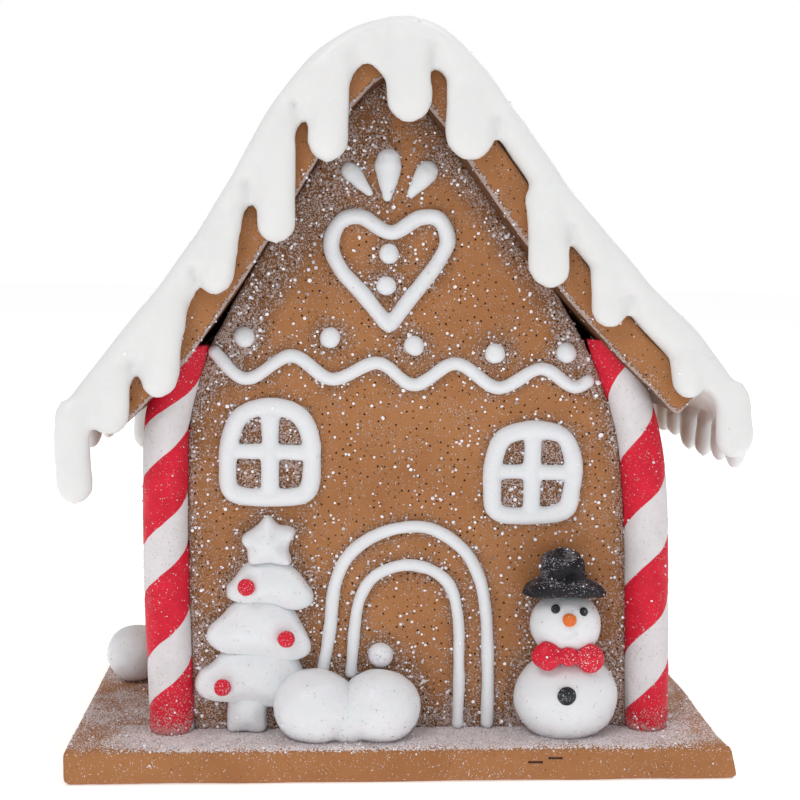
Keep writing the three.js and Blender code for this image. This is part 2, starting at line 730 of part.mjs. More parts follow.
const ballSpaces = Object.values(SNOWBALLS).map((ball) => ellipsoid(...grown(ball, GAP)));
add('tree_star', star(), 'icing', 0.5);
add('tree_tier_1', cut(treeTier(0), star(GAP)), 'icing', 0.5);
add('tree_tier_2', cut(treeTier(1), treeTier(0, GAP)), 'icing', 0.5);
add('tree_tier_3', cut(treeTier(2), treeTier(1, GAP), ...ballSpaces), 'icing', 0.5);
add('tree_trunk', cut(trunk(), boardSpace, treeTier(2, GAP), ...ballSpaces), 'icing', 0.5);
TREE_BALLS.forEach(([x, z], i) => {
  const ball = ellipsoid([x, TREE_FRONT - TREE_BALL.sunk, z], TREE_BALL.radii, 10, 6);
  add(`tree_ball_${i + 1}`, cut(ball, treeTier(i, GAP)), 'red', 0.5);
});

add('snowman_body', pressed(snowmanPiece('body'), snowmanPiece('head', GAP)), 'icing', 0.5);
add('snowman_head', cut(snowmanPiece('head'), wallSpace, snowmanPiece('brim', GAP)), 'icing', 0.5);
add('hat_brim', cut(snowmanPiece('brim', 0, 14, 6), wallSpace), 'black', 0.7);
add('hat_crown', hatCrown(), 'black', 0.7);
const neck = [snowmanPiece('head', GAP), snowmanPiece('body', GAP)];
for (const side of ['left', 'right']) {
  const lobe = cut(snowmanPiece(`bow_${side}`, 0, 10, 6), ...neck, snowmanPiece('knot', GAP));
  add(`bow_${side}`, lobe, 'red', 0.6);
  add(`eye_${side}`, cut(snowmanPiece(`eye_${side}`, 0, 8, 6), snowmanPiece('head', GAP)), 'black', 0.4);
}
add('bow_knot', cut(snowmanPiece('knot', 0, 8, 6), ...neck), 'red', 0.6);
add('nose', cut(snowmanPiece('nose', 0, 8, 6), snowmanPiece('head', GAP)), 'orange', 0.6);
add('button', cut(snowmanPiece('button', 0, 10, 6), snowmanPiece('body', GAP)), 'black', 0.4);

export default house;
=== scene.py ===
import math
import random

import bmesh
import bpy
import numpy as np
from bpy.props import FloatProperty, FloatVectorProperty, IntProperty, PointerProperty
from mathutils import Matrix, Vector, noise
from mathutils.kdtree import KDTree


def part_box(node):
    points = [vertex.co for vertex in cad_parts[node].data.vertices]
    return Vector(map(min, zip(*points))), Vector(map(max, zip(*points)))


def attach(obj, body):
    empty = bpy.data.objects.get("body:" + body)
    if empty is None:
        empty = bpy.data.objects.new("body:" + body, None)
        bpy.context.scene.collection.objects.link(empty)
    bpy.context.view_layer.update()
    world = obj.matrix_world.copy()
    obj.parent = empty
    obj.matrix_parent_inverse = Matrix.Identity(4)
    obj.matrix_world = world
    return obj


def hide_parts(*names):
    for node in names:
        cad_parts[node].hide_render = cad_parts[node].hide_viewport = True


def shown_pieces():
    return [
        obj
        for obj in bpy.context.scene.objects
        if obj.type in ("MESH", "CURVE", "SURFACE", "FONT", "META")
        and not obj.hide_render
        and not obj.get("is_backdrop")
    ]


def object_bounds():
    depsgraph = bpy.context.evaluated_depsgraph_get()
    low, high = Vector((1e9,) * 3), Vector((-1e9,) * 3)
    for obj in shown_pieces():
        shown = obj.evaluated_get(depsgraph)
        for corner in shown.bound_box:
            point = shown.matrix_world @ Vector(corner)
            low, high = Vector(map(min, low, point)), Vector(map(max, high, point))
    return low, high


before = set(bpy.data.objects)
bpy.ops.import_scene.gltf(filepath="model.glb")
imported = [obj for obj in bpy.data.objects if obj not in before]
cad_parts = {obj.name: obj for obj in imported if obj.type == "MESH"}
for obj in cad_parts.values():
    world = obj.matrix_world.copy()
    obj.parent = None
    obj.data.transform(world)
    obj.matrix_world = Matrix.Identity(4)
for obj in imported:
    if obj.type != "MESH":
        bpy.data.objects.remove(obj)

bl_info = {
    "name": "Gingerbread house ornament",
    "version": (1, 0, 0),
    "blender": (4, 5, 0),
    "location": "3D View > Sidebar > Gingerbread",
    "description": "Dresses the gingerbread house frame in clay dough, icing, sugar and glitter",
    "category": "Object",
}

CAD_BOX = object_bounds()

# Places and sizes below are in millimetres, and are scaled to metres where a shape is made.
MM = 0.001
WELD = 1e-6                      # metres between points that are one point
BODY = "root"

BOARD_TOP = 8.0
WALL_FRONT = -41.0
WALL_SINK = 0.6                  # how far piped lines are let into the wall

# Roof: underside of both panels from the left eave over the ridge to the right eave
ROOF_UNDERSIDE = (
    (-64.9, 77.9), (-57, 85.4), (-45.2, 99), (-31.3, 120.7), (-20.7, 138), (-13.2, 150), (-4, 156.8),
    (4.5, 148.7), (12.6, 138), (25.6, 120.4), (42.1, 100.4), (60.6, 82.6),
)
ROOF_THICK = 8.0
ICING_GAP = 0.3
ICING_OUTER = (
    (-77.6, 77), (-75.6, 83.4), (-71, 90.4), (-62, 101.2), (-50.9, 115.4), (-41.4, 130.5),
    (-30.4, 150.4), (-18.4, 163.6), (-5, 169), (8.4, 165.2), (22.4, 149.6), (37.2, 129.2),
    (53.6, 111.4), (66.4, 98.6), (73.6, 88.4), (77.8, 78),
)
ICING_HALF_LENGTH = 54.4
# Drips of the front gable: X at the tip, half width, height of the tip, X at the root
FRONT_DRIPS = (
    (-72.9, 3.9, 62.6, -74), (-65.7, 4.1, 78, -64.5), (-55.1, 3.9, 86, -52),
    (-42.8, 3.4, 108.8, -39.2), (-29.6, 4.3, 119.6, -29.4), (-18.6, 4.4, 137.5, -17.6),
    (-1.1, 5.1, 145.9, -1.8), (12.4, 5.2, 138, 11.6),
    (30.5, 4.5, 110.7, 28.6), (44.1, 3.8, 101.9, 42.4), (62.2, 3.2, 86.8, 60.4), (72.8, 3.9, 73.4, 72),
)
# Where the front drips part: X, height, height above the roof underside, number of the drip downhill
NOTCHES = (
    (-59.1, 89, 2.8, 1), (-45.8, 110.1, 7.1, 2), (-34.6, 128.8, 7.1, 3), (-24.2, 145.6, 6.6, 4),
    (-10.9, 156.5, -0.4, 5), (4.2, 158.5, 5.7, 7), (18.3, 143.2, 7.6, 8), (34.8, 120.4, 7.4, 9),
    (48.5, 105, 7.6, 10),
)
RIDGE_NOTCH = (-10.9, 156.5, 3, 6)
BACK_LIP = 7.0                   # lower edge of the icing over the back ends of the panels
BEAD_TOP = 13.9

# Candy cane columns: centre X by height
CANE_RADIUS = 5.15
CANE_Y = -40.2
CANES = {
    "cane_left": {
        "line": ((-53.4, 8), (-53.8, 22), (-54.6, 46), (-54.7, 68), (-54.2, 80), (-51.6, 91), (-49.6, 98),
                 (-47.5, 104)),
        "top": 97.0,
        "pitch": 26.45,
        "red": 0.58,
        "start": 0.90,
    },
    "cane_right": {
        "line": ((57.7, 8), (57.4, 22), (56.8, 42), (55.9, 62), (54.2, 75.5), (52, 84), (49.2, 91),
                 (46.4, 99), (43.6, 106)),
        "top": 99.2,
        "pitch": 29.65,
        "red": 0.52,
        "start": 0.91,
    },
}

# Piping on the front wall
ZIGZAG = (
    (-44.7, 96.7), (-36.6, 89.6), (-26.2, 94.9), (-17.2, 89.6), (-6.6, 93.4), (1.6, 88.4), (11, 93.4),
    (21, 87.9), (31, 92.4), (38.6, 88.2), (43, 90.4),
)
HEART = (
    (-4.3, 101.9), (-5.2, 102.9), (-10.6, 109.3), (-15.6, 114.9), (-17.5, 120.4), (-15.2, 125.4),
    (-11, 126.3), (-4.1, 122.8), (2.6, 126.3), (6.6, 126.1), (8.8, 121.4), (6.6, 116.2), (1.2, 109),
    (-3.4, 102.9),
)
ARCH_OUTER = (
    (-18.9, 20.5), (-17.2, 31), (-15.9, 42.6), (-13.2, 48.6), (-7.6, 53.2), (0, 55.6), (6.6, 55),
    (13.6, 50.2), (17.2, 44.2), (19, 36), (19.8, 20), (19.8, 7.8),
)
ARCH_INNER = (
    (-12.2, 20), (-11.4, 31.7), (-10.3, 38.6), (-7, 44), (-0.8, 46.6), (5.4, 45.9), (10.2, 42.4),
    (12.4, 35.6), (13, 24), (12.9, 7.8),
)
WINDOWS = {
    "left": {
        "frame": ((-39.7, 63.8), (-40.6, 70), (-40, 76), (-37.6, 81.2), (-31, 83.4), (-24.4, 81.2),
                  (-21.8, 76), (-21.5, 69), (-22.8, 63.6), (-31, 62.4)),
        "upright": ((-31, 62.6), (-31, 83)),
        "bars": (((-40, 73), (-31.6, 73.1)), ((-30.8, 73), (-22.2, 72.7))),
    },
    "right": {
        "frame": ((20.9, 59.4), (20, 65), (20.2, 71), (22.4, 76.4), (29, 78.3), (36.2, 76.8), (38.7, 71),
                  (38.5, 64.5), (37, 59.8), (29.2, 58.3)),
        "upright": ((29.2, 57.8), (29.2, 78)),
        "bars": (((20.4, 68.5), (28.8, 68.6)), ((29.6, 68.5), (38.2, 68.3))),
    },
}
# Round drops: centre, radius, height off the wall
DROPS = {
    "dot_1": ((-37, 99), 2.4, 2),
    "dot_2": ((-17.6, 99), 2.4, 2),
    "dot_3": ((1.5, 97.4), 2.4, 2),
    "dot_4": ((20, 95.8), 2.4, 2),
    "dot_5": ((36.6, 96.1), 2.4, 2),
    "heart_dot_1": ((-4.4, 118.1), 2.3, 2),
    "heart_dot_2": ((-5, 110.9), 2.3, 2),
    "door_knob": ((-5.3, 25.5), 2.9, 3),
}
# Drops that run to a point: round end, tip, half width
TEARDROPS = {
    "teardrop_1": ((-14.8, 138.2), (-8.4, 131), 2.2),
    "teardrop_2": ((-4.8, 141.8), (-4.9, 129.6), 3.2),
    "teardrop_3": ((5.6, 138.8), (-0.2, 130.6), 2.6),
}

# Tree, from the top tier down, its star and its trunk
TREE_TIERS = (
    ((-41.1, 41.3), (-39, 44.4), (-36.2, 47.4), (-31.1, 48.2), (-26.2, 46.8), (-22.8, 43.4), (-20.8, 39.8),
     (-21.6, 37.6), (-24.4, 36.6), (-29, 37.6), (-34, 38), (-38.6, 38.2), (-40.7, 39.4)),
    ((-45.3, 31), (-43.7, 33.8), (-40.6, 36.4), (-37.6, 38.8), (-32, 39.6), (-26.4, 37.6), (-23.7, 33.4),
     (-21.3, 28.8), (-21.5, 26.4), (-24, 25.1), (-29, 24.7), (-35, 25.3), (-42.3, 26.9), (-45, 29)),
    ((-48.2, 19.2), (-47, 22), (-43.9, 24.2), (-41.6, 26.9), (-34, 27.4), (-26, 26.4), (-23.4, 23),
     (-21.6, 19.4), (-22.3, 15), (-30.3, 13.6), (-35, 14.2), (-39.6, 14.7), (-44.6, 15.2), (-47.4, 16.6)),
)
STAR = (
    (-31.6, 58.6), (-33.8, 55.8), (-37.4, 53.1), (-36.2, 51), (-35.8, 47.4), (-30.8, 47.4), (-26, 47.2),
    (-26.8, 51.2), (-25.2, 55.1), (-29, 56),
)
TRUNK = ((-40.4, 8), (-36, 8), (-31.7, 8), (-31.4, 12), (-32, 17), (-36, 17.4), (-40, 17), (-40.6, 12))
TREE_DEPTH = 6.0
TREE_BALLS = ((-36.1, 42.9), (-27, 30.9), (-41.4, 19.8))

# Snowballs and snowman: centre and radii
SNOWBALLS = {
    "snowball_left": ((-20.2, -46.4, 15), (9.9, 8.6, 8.6)),
    "snowball_right": ((-5.7, -46.6, 15), (9.7, 8.4, 8.5)),
    "snowball_side": ((-66.6, -1, 14.9), (7.3, 7.6, 7.4)),
}
SQUEEZE_X = -12.9                # where the two balls in front are squeezed flat
SQUEEZED_OUT = ((-12.9, -48.6, 12.2), (4.6, 4.4, 5.6))
SMILE = ((33.3, 33.6), (34.3, 32.8), (35.7, 32.5), (37.1, 32.8), (38.1, 33.8))
BOARD_SLITS = ((27.4, 30.8, 4.8), (32.4, 35.2, 5.3))
SNOWMAN = {
    "body": ((37.5, -44.8, 16.6), (12.1, 8.6, 10.4)),
    "head": ((36.9, -45.6, 34), (8.2, 7.4, 7.6)),
    "brim": ((36.2, -46.4, 42.9), (9.5, 7.6, 2.4)),
    "bow_left": ((32.2, -51, 27.8), (3.7, 2.4, 3.4)),
    "bow_right": ((41.7, -51, 27.3), (3.4, 2.4, 3.4)),
    "knot": ((36.8, -51.5, 27.8), (2.2, 2.2, 2.3)),
    "nose": ((36.5, -53.1, 36.7), (1.6, 1.6, 1.5)),
    "eye_left": ((33.6, -51.2, 38.8), (1.05, 1, 1.05)),
    "eye_right": ((40, -51.2, 38.1), (1.05, 1, 1.05)),
    "button": ((36.3, -53.2, 19.2), (2.15, 1.1, 2.15)),
}
HAT_CROWN = ((0, 0), (4.4, 0), (5, 2), (5, 4.6), (4.2, 6.2), (2.6, 6.8), (1.2, 6), (0, 5.6))

PANEL_END = 49.0                 # Y past which a roof panel shows its end face
SQUEEZE_PAST = 0.4               # how far a squeezed ball reaches past the plane between the two
HAT_RISE = 1.2                   # crown above the middle of the brim

SKY = 0.60                       # light from all around; the pale backdrop itself shows at 1
# Lamps in metres: name, place, size, power
LAMPS = (
    ("key", (-0.45, -0.70, 0.95), 0.4, 3.0),
    ("top", (0.35, -0.10, 1.2), 0.5, 3.4),
    ("back", (0.30, 0.9, 0.6), 0.6, 1.5),
)
LAMP_AIM = (0, 0, 0.08)
CAMERA_PLACE = (-21.27, -358.34, 116.07)
CAMERA_TURN = (3.56, 5.59, 0.72)  # degrees: to the right, down, and over to the right
LENS = 63
WALL_NODES = ("front_wall", "back_wall", "left_wall", "right_wall")
WALL_STARTS = tuple(f"clay_{node}" for node in WALL_NODES)


# Settings

def colour_setting(name, description, default):
    return FloatVectorProperty(name=name, description=description, subtype="COLOR", size=3, min=0, max=1,
                               default=default)


class HouseColours(bpy.types.PropertyGroup):
    """Colours of the clay, icing and glitter, as linear values."""
    dough: colour_setting("Dough", "Brown clay of walls, roof and board", (0.396, 0.172, 0.065))
    dough_dark: colour_setting("Dough, darker", "Darker clouds in the brown clay", (0.338, 0.140, 0.050))
    # Painted shade: the dark that pinholes, slits and the roof panels' undersides are painted with
    pinhole_shade: colour_setting("Pinholes", "Inside of the pinholes in the clay", (0.040, 0.017, 0.010))
    icing: colour_setting("Icing", "Roof icing", (0.78, 0.78, 0.775))
    snow: colour_setting("Snow", "Cooler white of the piping, tree and snowballs", (0.77, 0.785, 0.81))
    dust: colour_setting("Dust", "Sugar dust on the board", (0.74, 0.68, 0.69))
    red: colour_setting("Red", "Red clay of the canes, bow and tree balls", (0.69, 0.011, 0.036))
    black: colour_setting("Black", "Black clay of the hat, eyes and button", (0.007, 0.006, 0.009))
    orange: colour_setting("Orange", "Orange clay of the nose", (0.76, 0.18, 0.030))
    sugar: colour_setting("Sugar", "Sugar-like grains", (0.80, 0.75, 0.77))
    frost: colour_setting("Frost", "Fine greyish glitter dust on the clay", (0.475, 0.375, 0.345))
    glitter: colour_setting("Glitter", "Light glitter flakes", (0.92, 0.90, 0.95))
    # Painted shade: the darker copy of the glitter colour, for flakes that catch no light
    glitter_unlit: colour_setting("Glitter, dull", "Flakes that catch no light", (0.34, 0.265, 0.26))


class HouseSizes(bpy.types.PropertyGroup):
    """Mesh spacing and amounts."""
    slab_spacing: FloatProperty(name="Slab spacing", description="Mesh spacing over the clay slabs",
                                default=0.9 * MM, min=0.5 * MM, precision=5, unit="LENGTH")
    wall_spacing: FloatProperty(name="Front wall spacing", description="Mesh spacing over the front wall",
                                default=0.8 * MM, min=0.5 * MM, precision=5, unit="LENGTH")
    icing_spacing: FloatProperty(name="Icing spacing", description="Mesh spacing over the roof icing",
                                 default=0.95 * MM, min=0.6 * MM, precision=5, unit="LENGTH")
    piping_spacing: FloatProperty(name="Piping spacing", description="Mesh spacing over the piped lines",
                                  default=0.32 * MM, min=0.2 * MM, precision=5, unit="LENGTH")
    flake: FloatProperty(name="Flake", description="Mean width of a glitter flake", default=0.6 * MM,
                         min=0.2 * MM, precision=5, unit="LENGTH")
    grain: FloatProperty(name="Sugar grain", description="Mean width of a grain of sugar frosting",
                         default=0.42 * MM, min=0.2 * MM, precision=5, unit="LENGTH")
    pinholes: FloatProperty(name="Pinholes", description="Pinholes in each square millimetre of front wall",
                            default=0.15, min=0, max=1)
    seed: IntProperty(name="Seed", description="Start of every random draw", default=20, min=0)


# Lines and shapes

def spline(points, per_span=8, loop=False, power=0.5):
    """Points of a smooth line through the given ones. power 0 spaces its knots evenly."""
    pts = [np.array(p, float) for p in points]
    count = len(pts)
    if loop:
        pts = [pts[-1], *pts, pts[0], pts[1]]
        spans = count
    else:
        pts = [2 * pts[0] - pts[1], *pts, 2 * pts[-1] - pts[-2]]
        spans = count - 1
    line = []
    for i in range(spans):
        a, b, c, d = pts[i:i + 4]
        ab, bc, cd = (max(np.linalg.norm(q - p), 1e-9) ** power for p, q in ((a, b), (b, c), (c, d)))
        start = ((b - a) / ab - (c - a) / (ab + bc) + (c - b) / bc) * bc
        end = ((c - b) / bc - (d - b) / (bc + cd) + (d - c) / cd) * bc
        for t in np.arange(per_span) / per_span:
            line.append((2 * t ** 3 - 3 * t ** 2 + 1) * b + (t ** 3 - 2 * t ** 2 + t) * start
                        + (3 * t ** 2 - 2 * t ** 3) * c + (t ** 3 - t ** 2) * end)
    if not loop:
        line.append(pts[-2])
    return np.array(line)


def travelled(line):
    """Distance along a line at each of its points."""
    steps = np.linalg.norm(np.diff(line, axis=0), axis=1)
    return np.concatenate([[0.0], np.cumsum(steps)])


def at_distance(line, distances):
    along = travelled(line)
    return np.stack([np.interp(distances, along, line[:, k]) for k in range(line.shape[1])], 1)


def headings(line, loop=False):
    """Unit direction of a line at each of its points."""
    if loop:
        steps = np.roll(line, -1, 0) - np.roll(line, 1, 0)
    else:
        steps = np.gradient(line, axis=0)
    return steps / np.linalg.norm(steps, axis=1)[:, None]


def wrapped(around, along, place):
    """A bmesh grid wrapped into a closed skin: place(turn, step) says where each of its points goes,
    turn from 0 to 1 and step from 0 to along."""
    bm = bmesh.new()
    bmesh.ops.create_grid(bm, x_segments=around, y_segments=along, size=0.5)
    for vert in bm.verts:
        vert.co = Vector(place(vert.co.x + 0.5, round((vert.co.y + 0.5) * along))) * MM
    bmesh.ops.remove_doubles(bm, verts=bm.verts, dist=WELD)
    bmesh.ops.recalc_face_normals(bm, faces=bm.faces)
    return bm


def close_ends(bm):
    """Fills what is still open with flat faces."""
    rims = [edge for edge in bm.edges if edge.is_boundary]
    if rims:
        bmesh.ops.edgeloop_fill(bm, edges=rims)
    bmesh.ops.recalc_face_normals(bm, faces=bm.faces)


def heaped(parts):
    """Several bmeshes as one."""
    whole = bmesh.new()
    for part in parts:
        mesh = bpy.data.meshes.new("part")
        part.to_mesh(mesh)
        part.free()
        whole.from_mesh(mesh)
        bpy.data.meshes.remove(mesh)
    return whole


def one_skin(bm, spacing, smoothing):
    """One closed skin over a heap of shapes, softened where they meet."""
    mesh = bpy.data.meshes.new("rough")
    bm.to_mesh(mesh)
    bm.free()
    rough = bpy.data.objects.new("rough", mesh)
    bpy.context.scene.collection.objects.link(rough)
    skin = rough.modifiers.new("Skin", "REMESH")
    skin.mode = "VOXEL"
    skin.voxel_size = spacing
    result = bmesh.new()
    result.from_object(rough, bpy.context.evaluated_depsgraph_get())
    bpy.data.objects.remove(rough)
    bpy.data.meshes.remove(mesh)
    soften(result, smoothing)
    return result


def soften(bm, times):
    for _ in range(times):
        bmesh.ops.smooth_vert(bm, verts=bm.verts, factor=0.5, use_axis_x=True, use_axis_y=True,
                              use_axis_z=True)


def copied(node):
    """A bmesh of a frame node, its loose triangles merged."""
    bm = bmesh.new()
    bm.from_mesh(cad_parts[node].data)
    bmesh.ops.remove_doubles(bm, verts=bm.verts, dist=WELD)
    return bm


def knead(bm, waves, seed, inward=0.0):
    """Hand-made unevenness along the normals. Each wave is (height, width) in millimetres."""
    bm.normal_update()
    offset = Vector((seed * 3.7, seed * 1.3, seed * 5.1))
    moves = []
    for vert in bm.verts:
        rise = sum(height * noise.noise(vert.co / (width * MM) + offset) for height, width in waves)
        moves.append(vert.normal * (rise - inward) * MM)
    for vert, move in zip(bm.verts, moves):
        vert.co += move


def keep_inside(bm, low, high):
    """Moves points that stand out of a box back to its sides."""
    for vert in bm.verts:
        vert.co = Vector(max(a, min(b, c)) for a, b, c in zip(low, high, vert.co))


def painted(bm, name, value):
    """Stores value(vert), from 0 to 1, as an attribute that the materials and the glitter read."""
    layer = bm.verts.layers.float.get(name) or bm.verts.layers.float.new(name)
    for vert in bm.verts:
        vert[layer] = max(0.0, min(1.0, value(vert)))


def shuffled(bm, faces, reach, seed):
    """Shifts the points of some faces a little within the surface, so that they keep no grid."""
    rng = random.Random(seed)
    for vert in dict.fromkeys(vert for face in faces for vert in face.verts):
        shift = Vector(rng.uniform(-reach, reach) for _ in range(3))
        vert.co += (shift - vert.normal * shift.dot(vert.normal)) * MM


def apart(faces, count, seed):
    """Random faces that don't touch each other."""
    taken, picked = set(), []
    for face in random.Random(seed).sample(faces, len(faces)):
        if len(picked) == count:
            break
        if taken.isdisjoint(face.verts):
            picked.append(face)
            taken.update(face.verts)
    return picked


def prick(bm, faces, count, width, depth, seed):
    """Round pinholes: picked faces are inset, rounded, sunk and closed by a point, with painted shade
    inside that is darkest at that point.
    """
    pit_shade = bm.verts.layers.float.get("pit_shade") or bm.verts.layers.float.new("pit_shade")
    picked = apart(faces, count, seed)
    for share, size in ((0, 1.0), (1, 0.75), (2, 1.25)):
        holes = picked[share::3]
        rim = math.sqrt(holes[0].calc_area()) / 2 - width * size * MM / 2
        bmesh.ops.inset_individual(bm, faces=holes, thickness=max(rim, 0.05 * MM))
        edges = list(dict.fromkeys(edge for face in holes for edge in face.edges))
        bmesh.ops.bisect_edges(bm, edges=edges, cuts=1)
        for face in holes:
            middle = face.calc_center_median()
            for vert in face.verts:
                vert.co = middle + (vert.co - middle).normalized() * width * size / 2 * MM
                vert[pit_shade] = 0.2
        bmesh.ops.inset_individual(bm, faces=holes, thickness=0.15 * width * MM, depth=-depth * MM)
        for face in holes:
            for vert in face.verts:
                vert[pit_shade] = 0.8
        bottoms = bmesh.ops.poke(bm, faces=holes, offset=-0.5 * depth * MM)
        for vert in bottoms["verts"]:
            vert[pit_shade] = 1.0


def finished(bm, name, material, nodes, smooth=True):
    """Makes the piece's object, at the origin, riding on the body and standing for its nodes."""
    mesh = bpy.data.meshes.new(name)
    bm.to_mesh(mesh)
    bm.free()
    mesh.materials.append(material)
    return placed(mesh, name, nodes, smooth)


def placed(mesh, name, nodes, smooth=True):
    mesh.polygons.foreach_set("use_smooth", [smooth] * len(mesh.polygons))
    piece = bpy.data.objects.new(name, mesh)
    bpy.context.scene.collection.objects.link(piece)
    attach(piece, BODY)
    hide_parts(*nodes)
    return piece


# Shapes piped and pressed on the wall

def piped(points, half_width, height, loop=False, seed=0):
    """A half-round line of icing on the front wall, with round ends, let a little into the wall."""
    line = spline(points, 12, loop)
    if loop:
        line = np.vstack([line, line[:1]])
    length = travelled(line)[-1]
    steps = max(8, int(length / 0.8))
    if loop:
        distances = np.linspace(0, length, steps + 1)
    else:
        rounding = half_width * (1 - np.cos(np.linspace(0, np.pi / 2, 7)))
        middle = np.linspace(half_width, length - half_width, steps + 1)[1:-1]
        distances = np.concatenate([rounding, middle, (length - rounding)[::-1]])
    centres = at_distance(line, distances)
    along = headings(centres)
    if loop:
        along[0] = along[-1] = headings(centres[:-1], True)[0]
    offset = Vector((seed * 2.3, seed * 7.1, 0))

    def size(step):
        wobble = 1 + 0.10 * noise.noise(Vector((*centres[step], 0)) / 6 + offset)
        if loop:
            return wobble
        left = min(distances[step], length - distances[step], half_width) / half_width
        return wobble * max(0.02, math.sqrt(1 - (1 - left) ** 2))

    def place(turn, step):
        step = step % (len(centres) - 1) if loop else step
        angle = 2 * math.pi * turn
        across = half_width * size(step) * math.cos(angle)
        rise = math.sin(angle)
        out = height * size(step) * rise if rise > 0 else WALL_SINK * rise
        x = centres[step][0] - along[step][1] * across
        z = centres[step][1] + along[step][0] * across
        return x, WALL_FRONT - out, z

    return wrapped(20, len(centres) - 1, place)


def spun(bm, profile, steps):
    """Turns a profile of points round the Z axis into a closed shape."""
    edges = [bm.edges.new(pair) for pair in zip(profile, profile[1:])]
    bmesh.ops.spin(bm, geom=profile + edges, cent=(0, 0, 0), axis=(0, 0, 1), angle=2 * math.pi,
                   steps=steps, use_merge=True, use_duplicate=False)
    bmesh.ops.remove_doubles(bm, verts=bm.verts, dist=WELD)
    bmesh.ops.recalc_face_normals(bm, faces=bm.faces)


def drop(centre, radius, height):
    """A round drop of icing on the front wall, spun from its profile."""
    bm = bmesh.new()
    profile = [bm.verts.new((0, 0, -height * MM))]
    for angle in np.linspace(80, -30, 10):
        bulge = math.cos(math.radians(angle)) ** 0.85
        profile.append(bm.verts.new((radius * bulge * MM, 0, -height * MM * math.sin(math.radians(angle)))))
    profile.append(bm.verts.new((0, 0, WALL_SINK * 1.5 * MM)))
    spun(bm, profile, 28)
    turn = Matrix.Rotation(-math.pi / 2, 4, "X")
    place = Matrix.Translation(Vector((centre[0], WALL_FRONT, centre[1])) * MM)
    bmesh.ops.transform(bm, matrix=place @ turn, verts=bm.verts)
    return bm


def teardrop(round_end, tip, half_width):
    """A drop that is round at one end and runs out to a point."""
    start, end = np.array(round_end, float), np.array(tip, float)
    along = (end - start) / np.linalg.norm(end - start)
    stations = 24
    shares = (0, 0.41, 0.81, 1, 0.81, 0.48, 0.3, 0)
    widths = np.interp(np.linspace(0, 1, stations + 1), (0, 0.03, 0.12, 0.32, 0.55, 0.8, 0.97, 1), shares)
    widths *= half_width

    def place(turn, step):
        centre = start + (end - start) * step / stations
        angle = 2 * math.pi * turn
        across = widths[step] * math.cos(angle)
        rise = math.sin(angle)
        out = 0.75 * widths[step] * rise if rise > 0 else WALL_SINK * rise * min(1, widths[step])
        return centre[0] - along[1] * across, WALL_FRONT - out, centre[1] + along[0] * across

    return wrapped(20, stations, place)


def pillow(points, depth, dome=0.35, rim=1.9, divisions=120):
    """A soft lump pressed on the front wall: a full round rim and a lightly domed face."""
    line = spline(points, 12, True)
    line = np.vstack([line, line[:1]])
    length = travelled(line)[-1]
    outline = at_distance(line, np.linspace(0, length, divisions + 1)[:-1])
    middle = outline.mean(0)
    rings = 22
    flat = depth * (1 - dome)

    def place(turn, step):
        index = round(turn * divisions) % divisions
        edge = outline[index]
        inward = middle - edge
        reach = np.linalg.norm(inward)
        if step < 8:
            angle = math.pi / 2 * step / 8
            inset = rim * (1 - math.cos(angle)) / reach
            out = flat * (0.15 + 0.85 * math.sin(angle)) if step else -WALL_SINK
        else:
            share = (step - 8) / (rings - 8)
            inset = rim / reach + (1 - rim / reach) * share
            out = flat + (depth - flat) * math.sin(math.pi / 2 * share)
        x, z = edge + inward * min(inset, 1)
        return x, WALL_FRONT - out, z

    bm = wrapped(divisions, rings, place)
    close_ends(bm)
    return bm


def lump(centre, radii, around=64, down=32):
    """An ellipsoid of clay."""
    bm = bmesh.new()
    bmesh.ops.create_uvsphere(bm, u_segments=around, v_segments=down, radius=1)
    bmesh.ops.scale(bm, vec=Vector(radii) * MM, verts=bm.verts)
    bmesh.ops.translate(bm, vec=Vector(centre) * MM, verts=bm.verts)
    return bm


def press_flat(bm, wall=True):
    """Flattens a lump where it meets the wall and the board."""
    for vert in bm.verts:
        if wall:
            vert.co.y = min(vert.co.y, (WALL_FRONT + WALL_SINK) * MM)
        vert.co.z = max(vert.co.z, (BOARD_TOP - 0.2) * MM)


def dent(bm, points, width, depth, direction):
    """Presses soft hollows along a row of points, in one direction."""
    places = [Vector(point) * MM for point in points]
    push = Vector(direction) * depth * MM
    for vert in bm.verts:
        near = min((vert.co - place).length for place in places) / (width * MM)
        if near < 3:
            vert.co += push * math.exp(-near * near)


# Materials

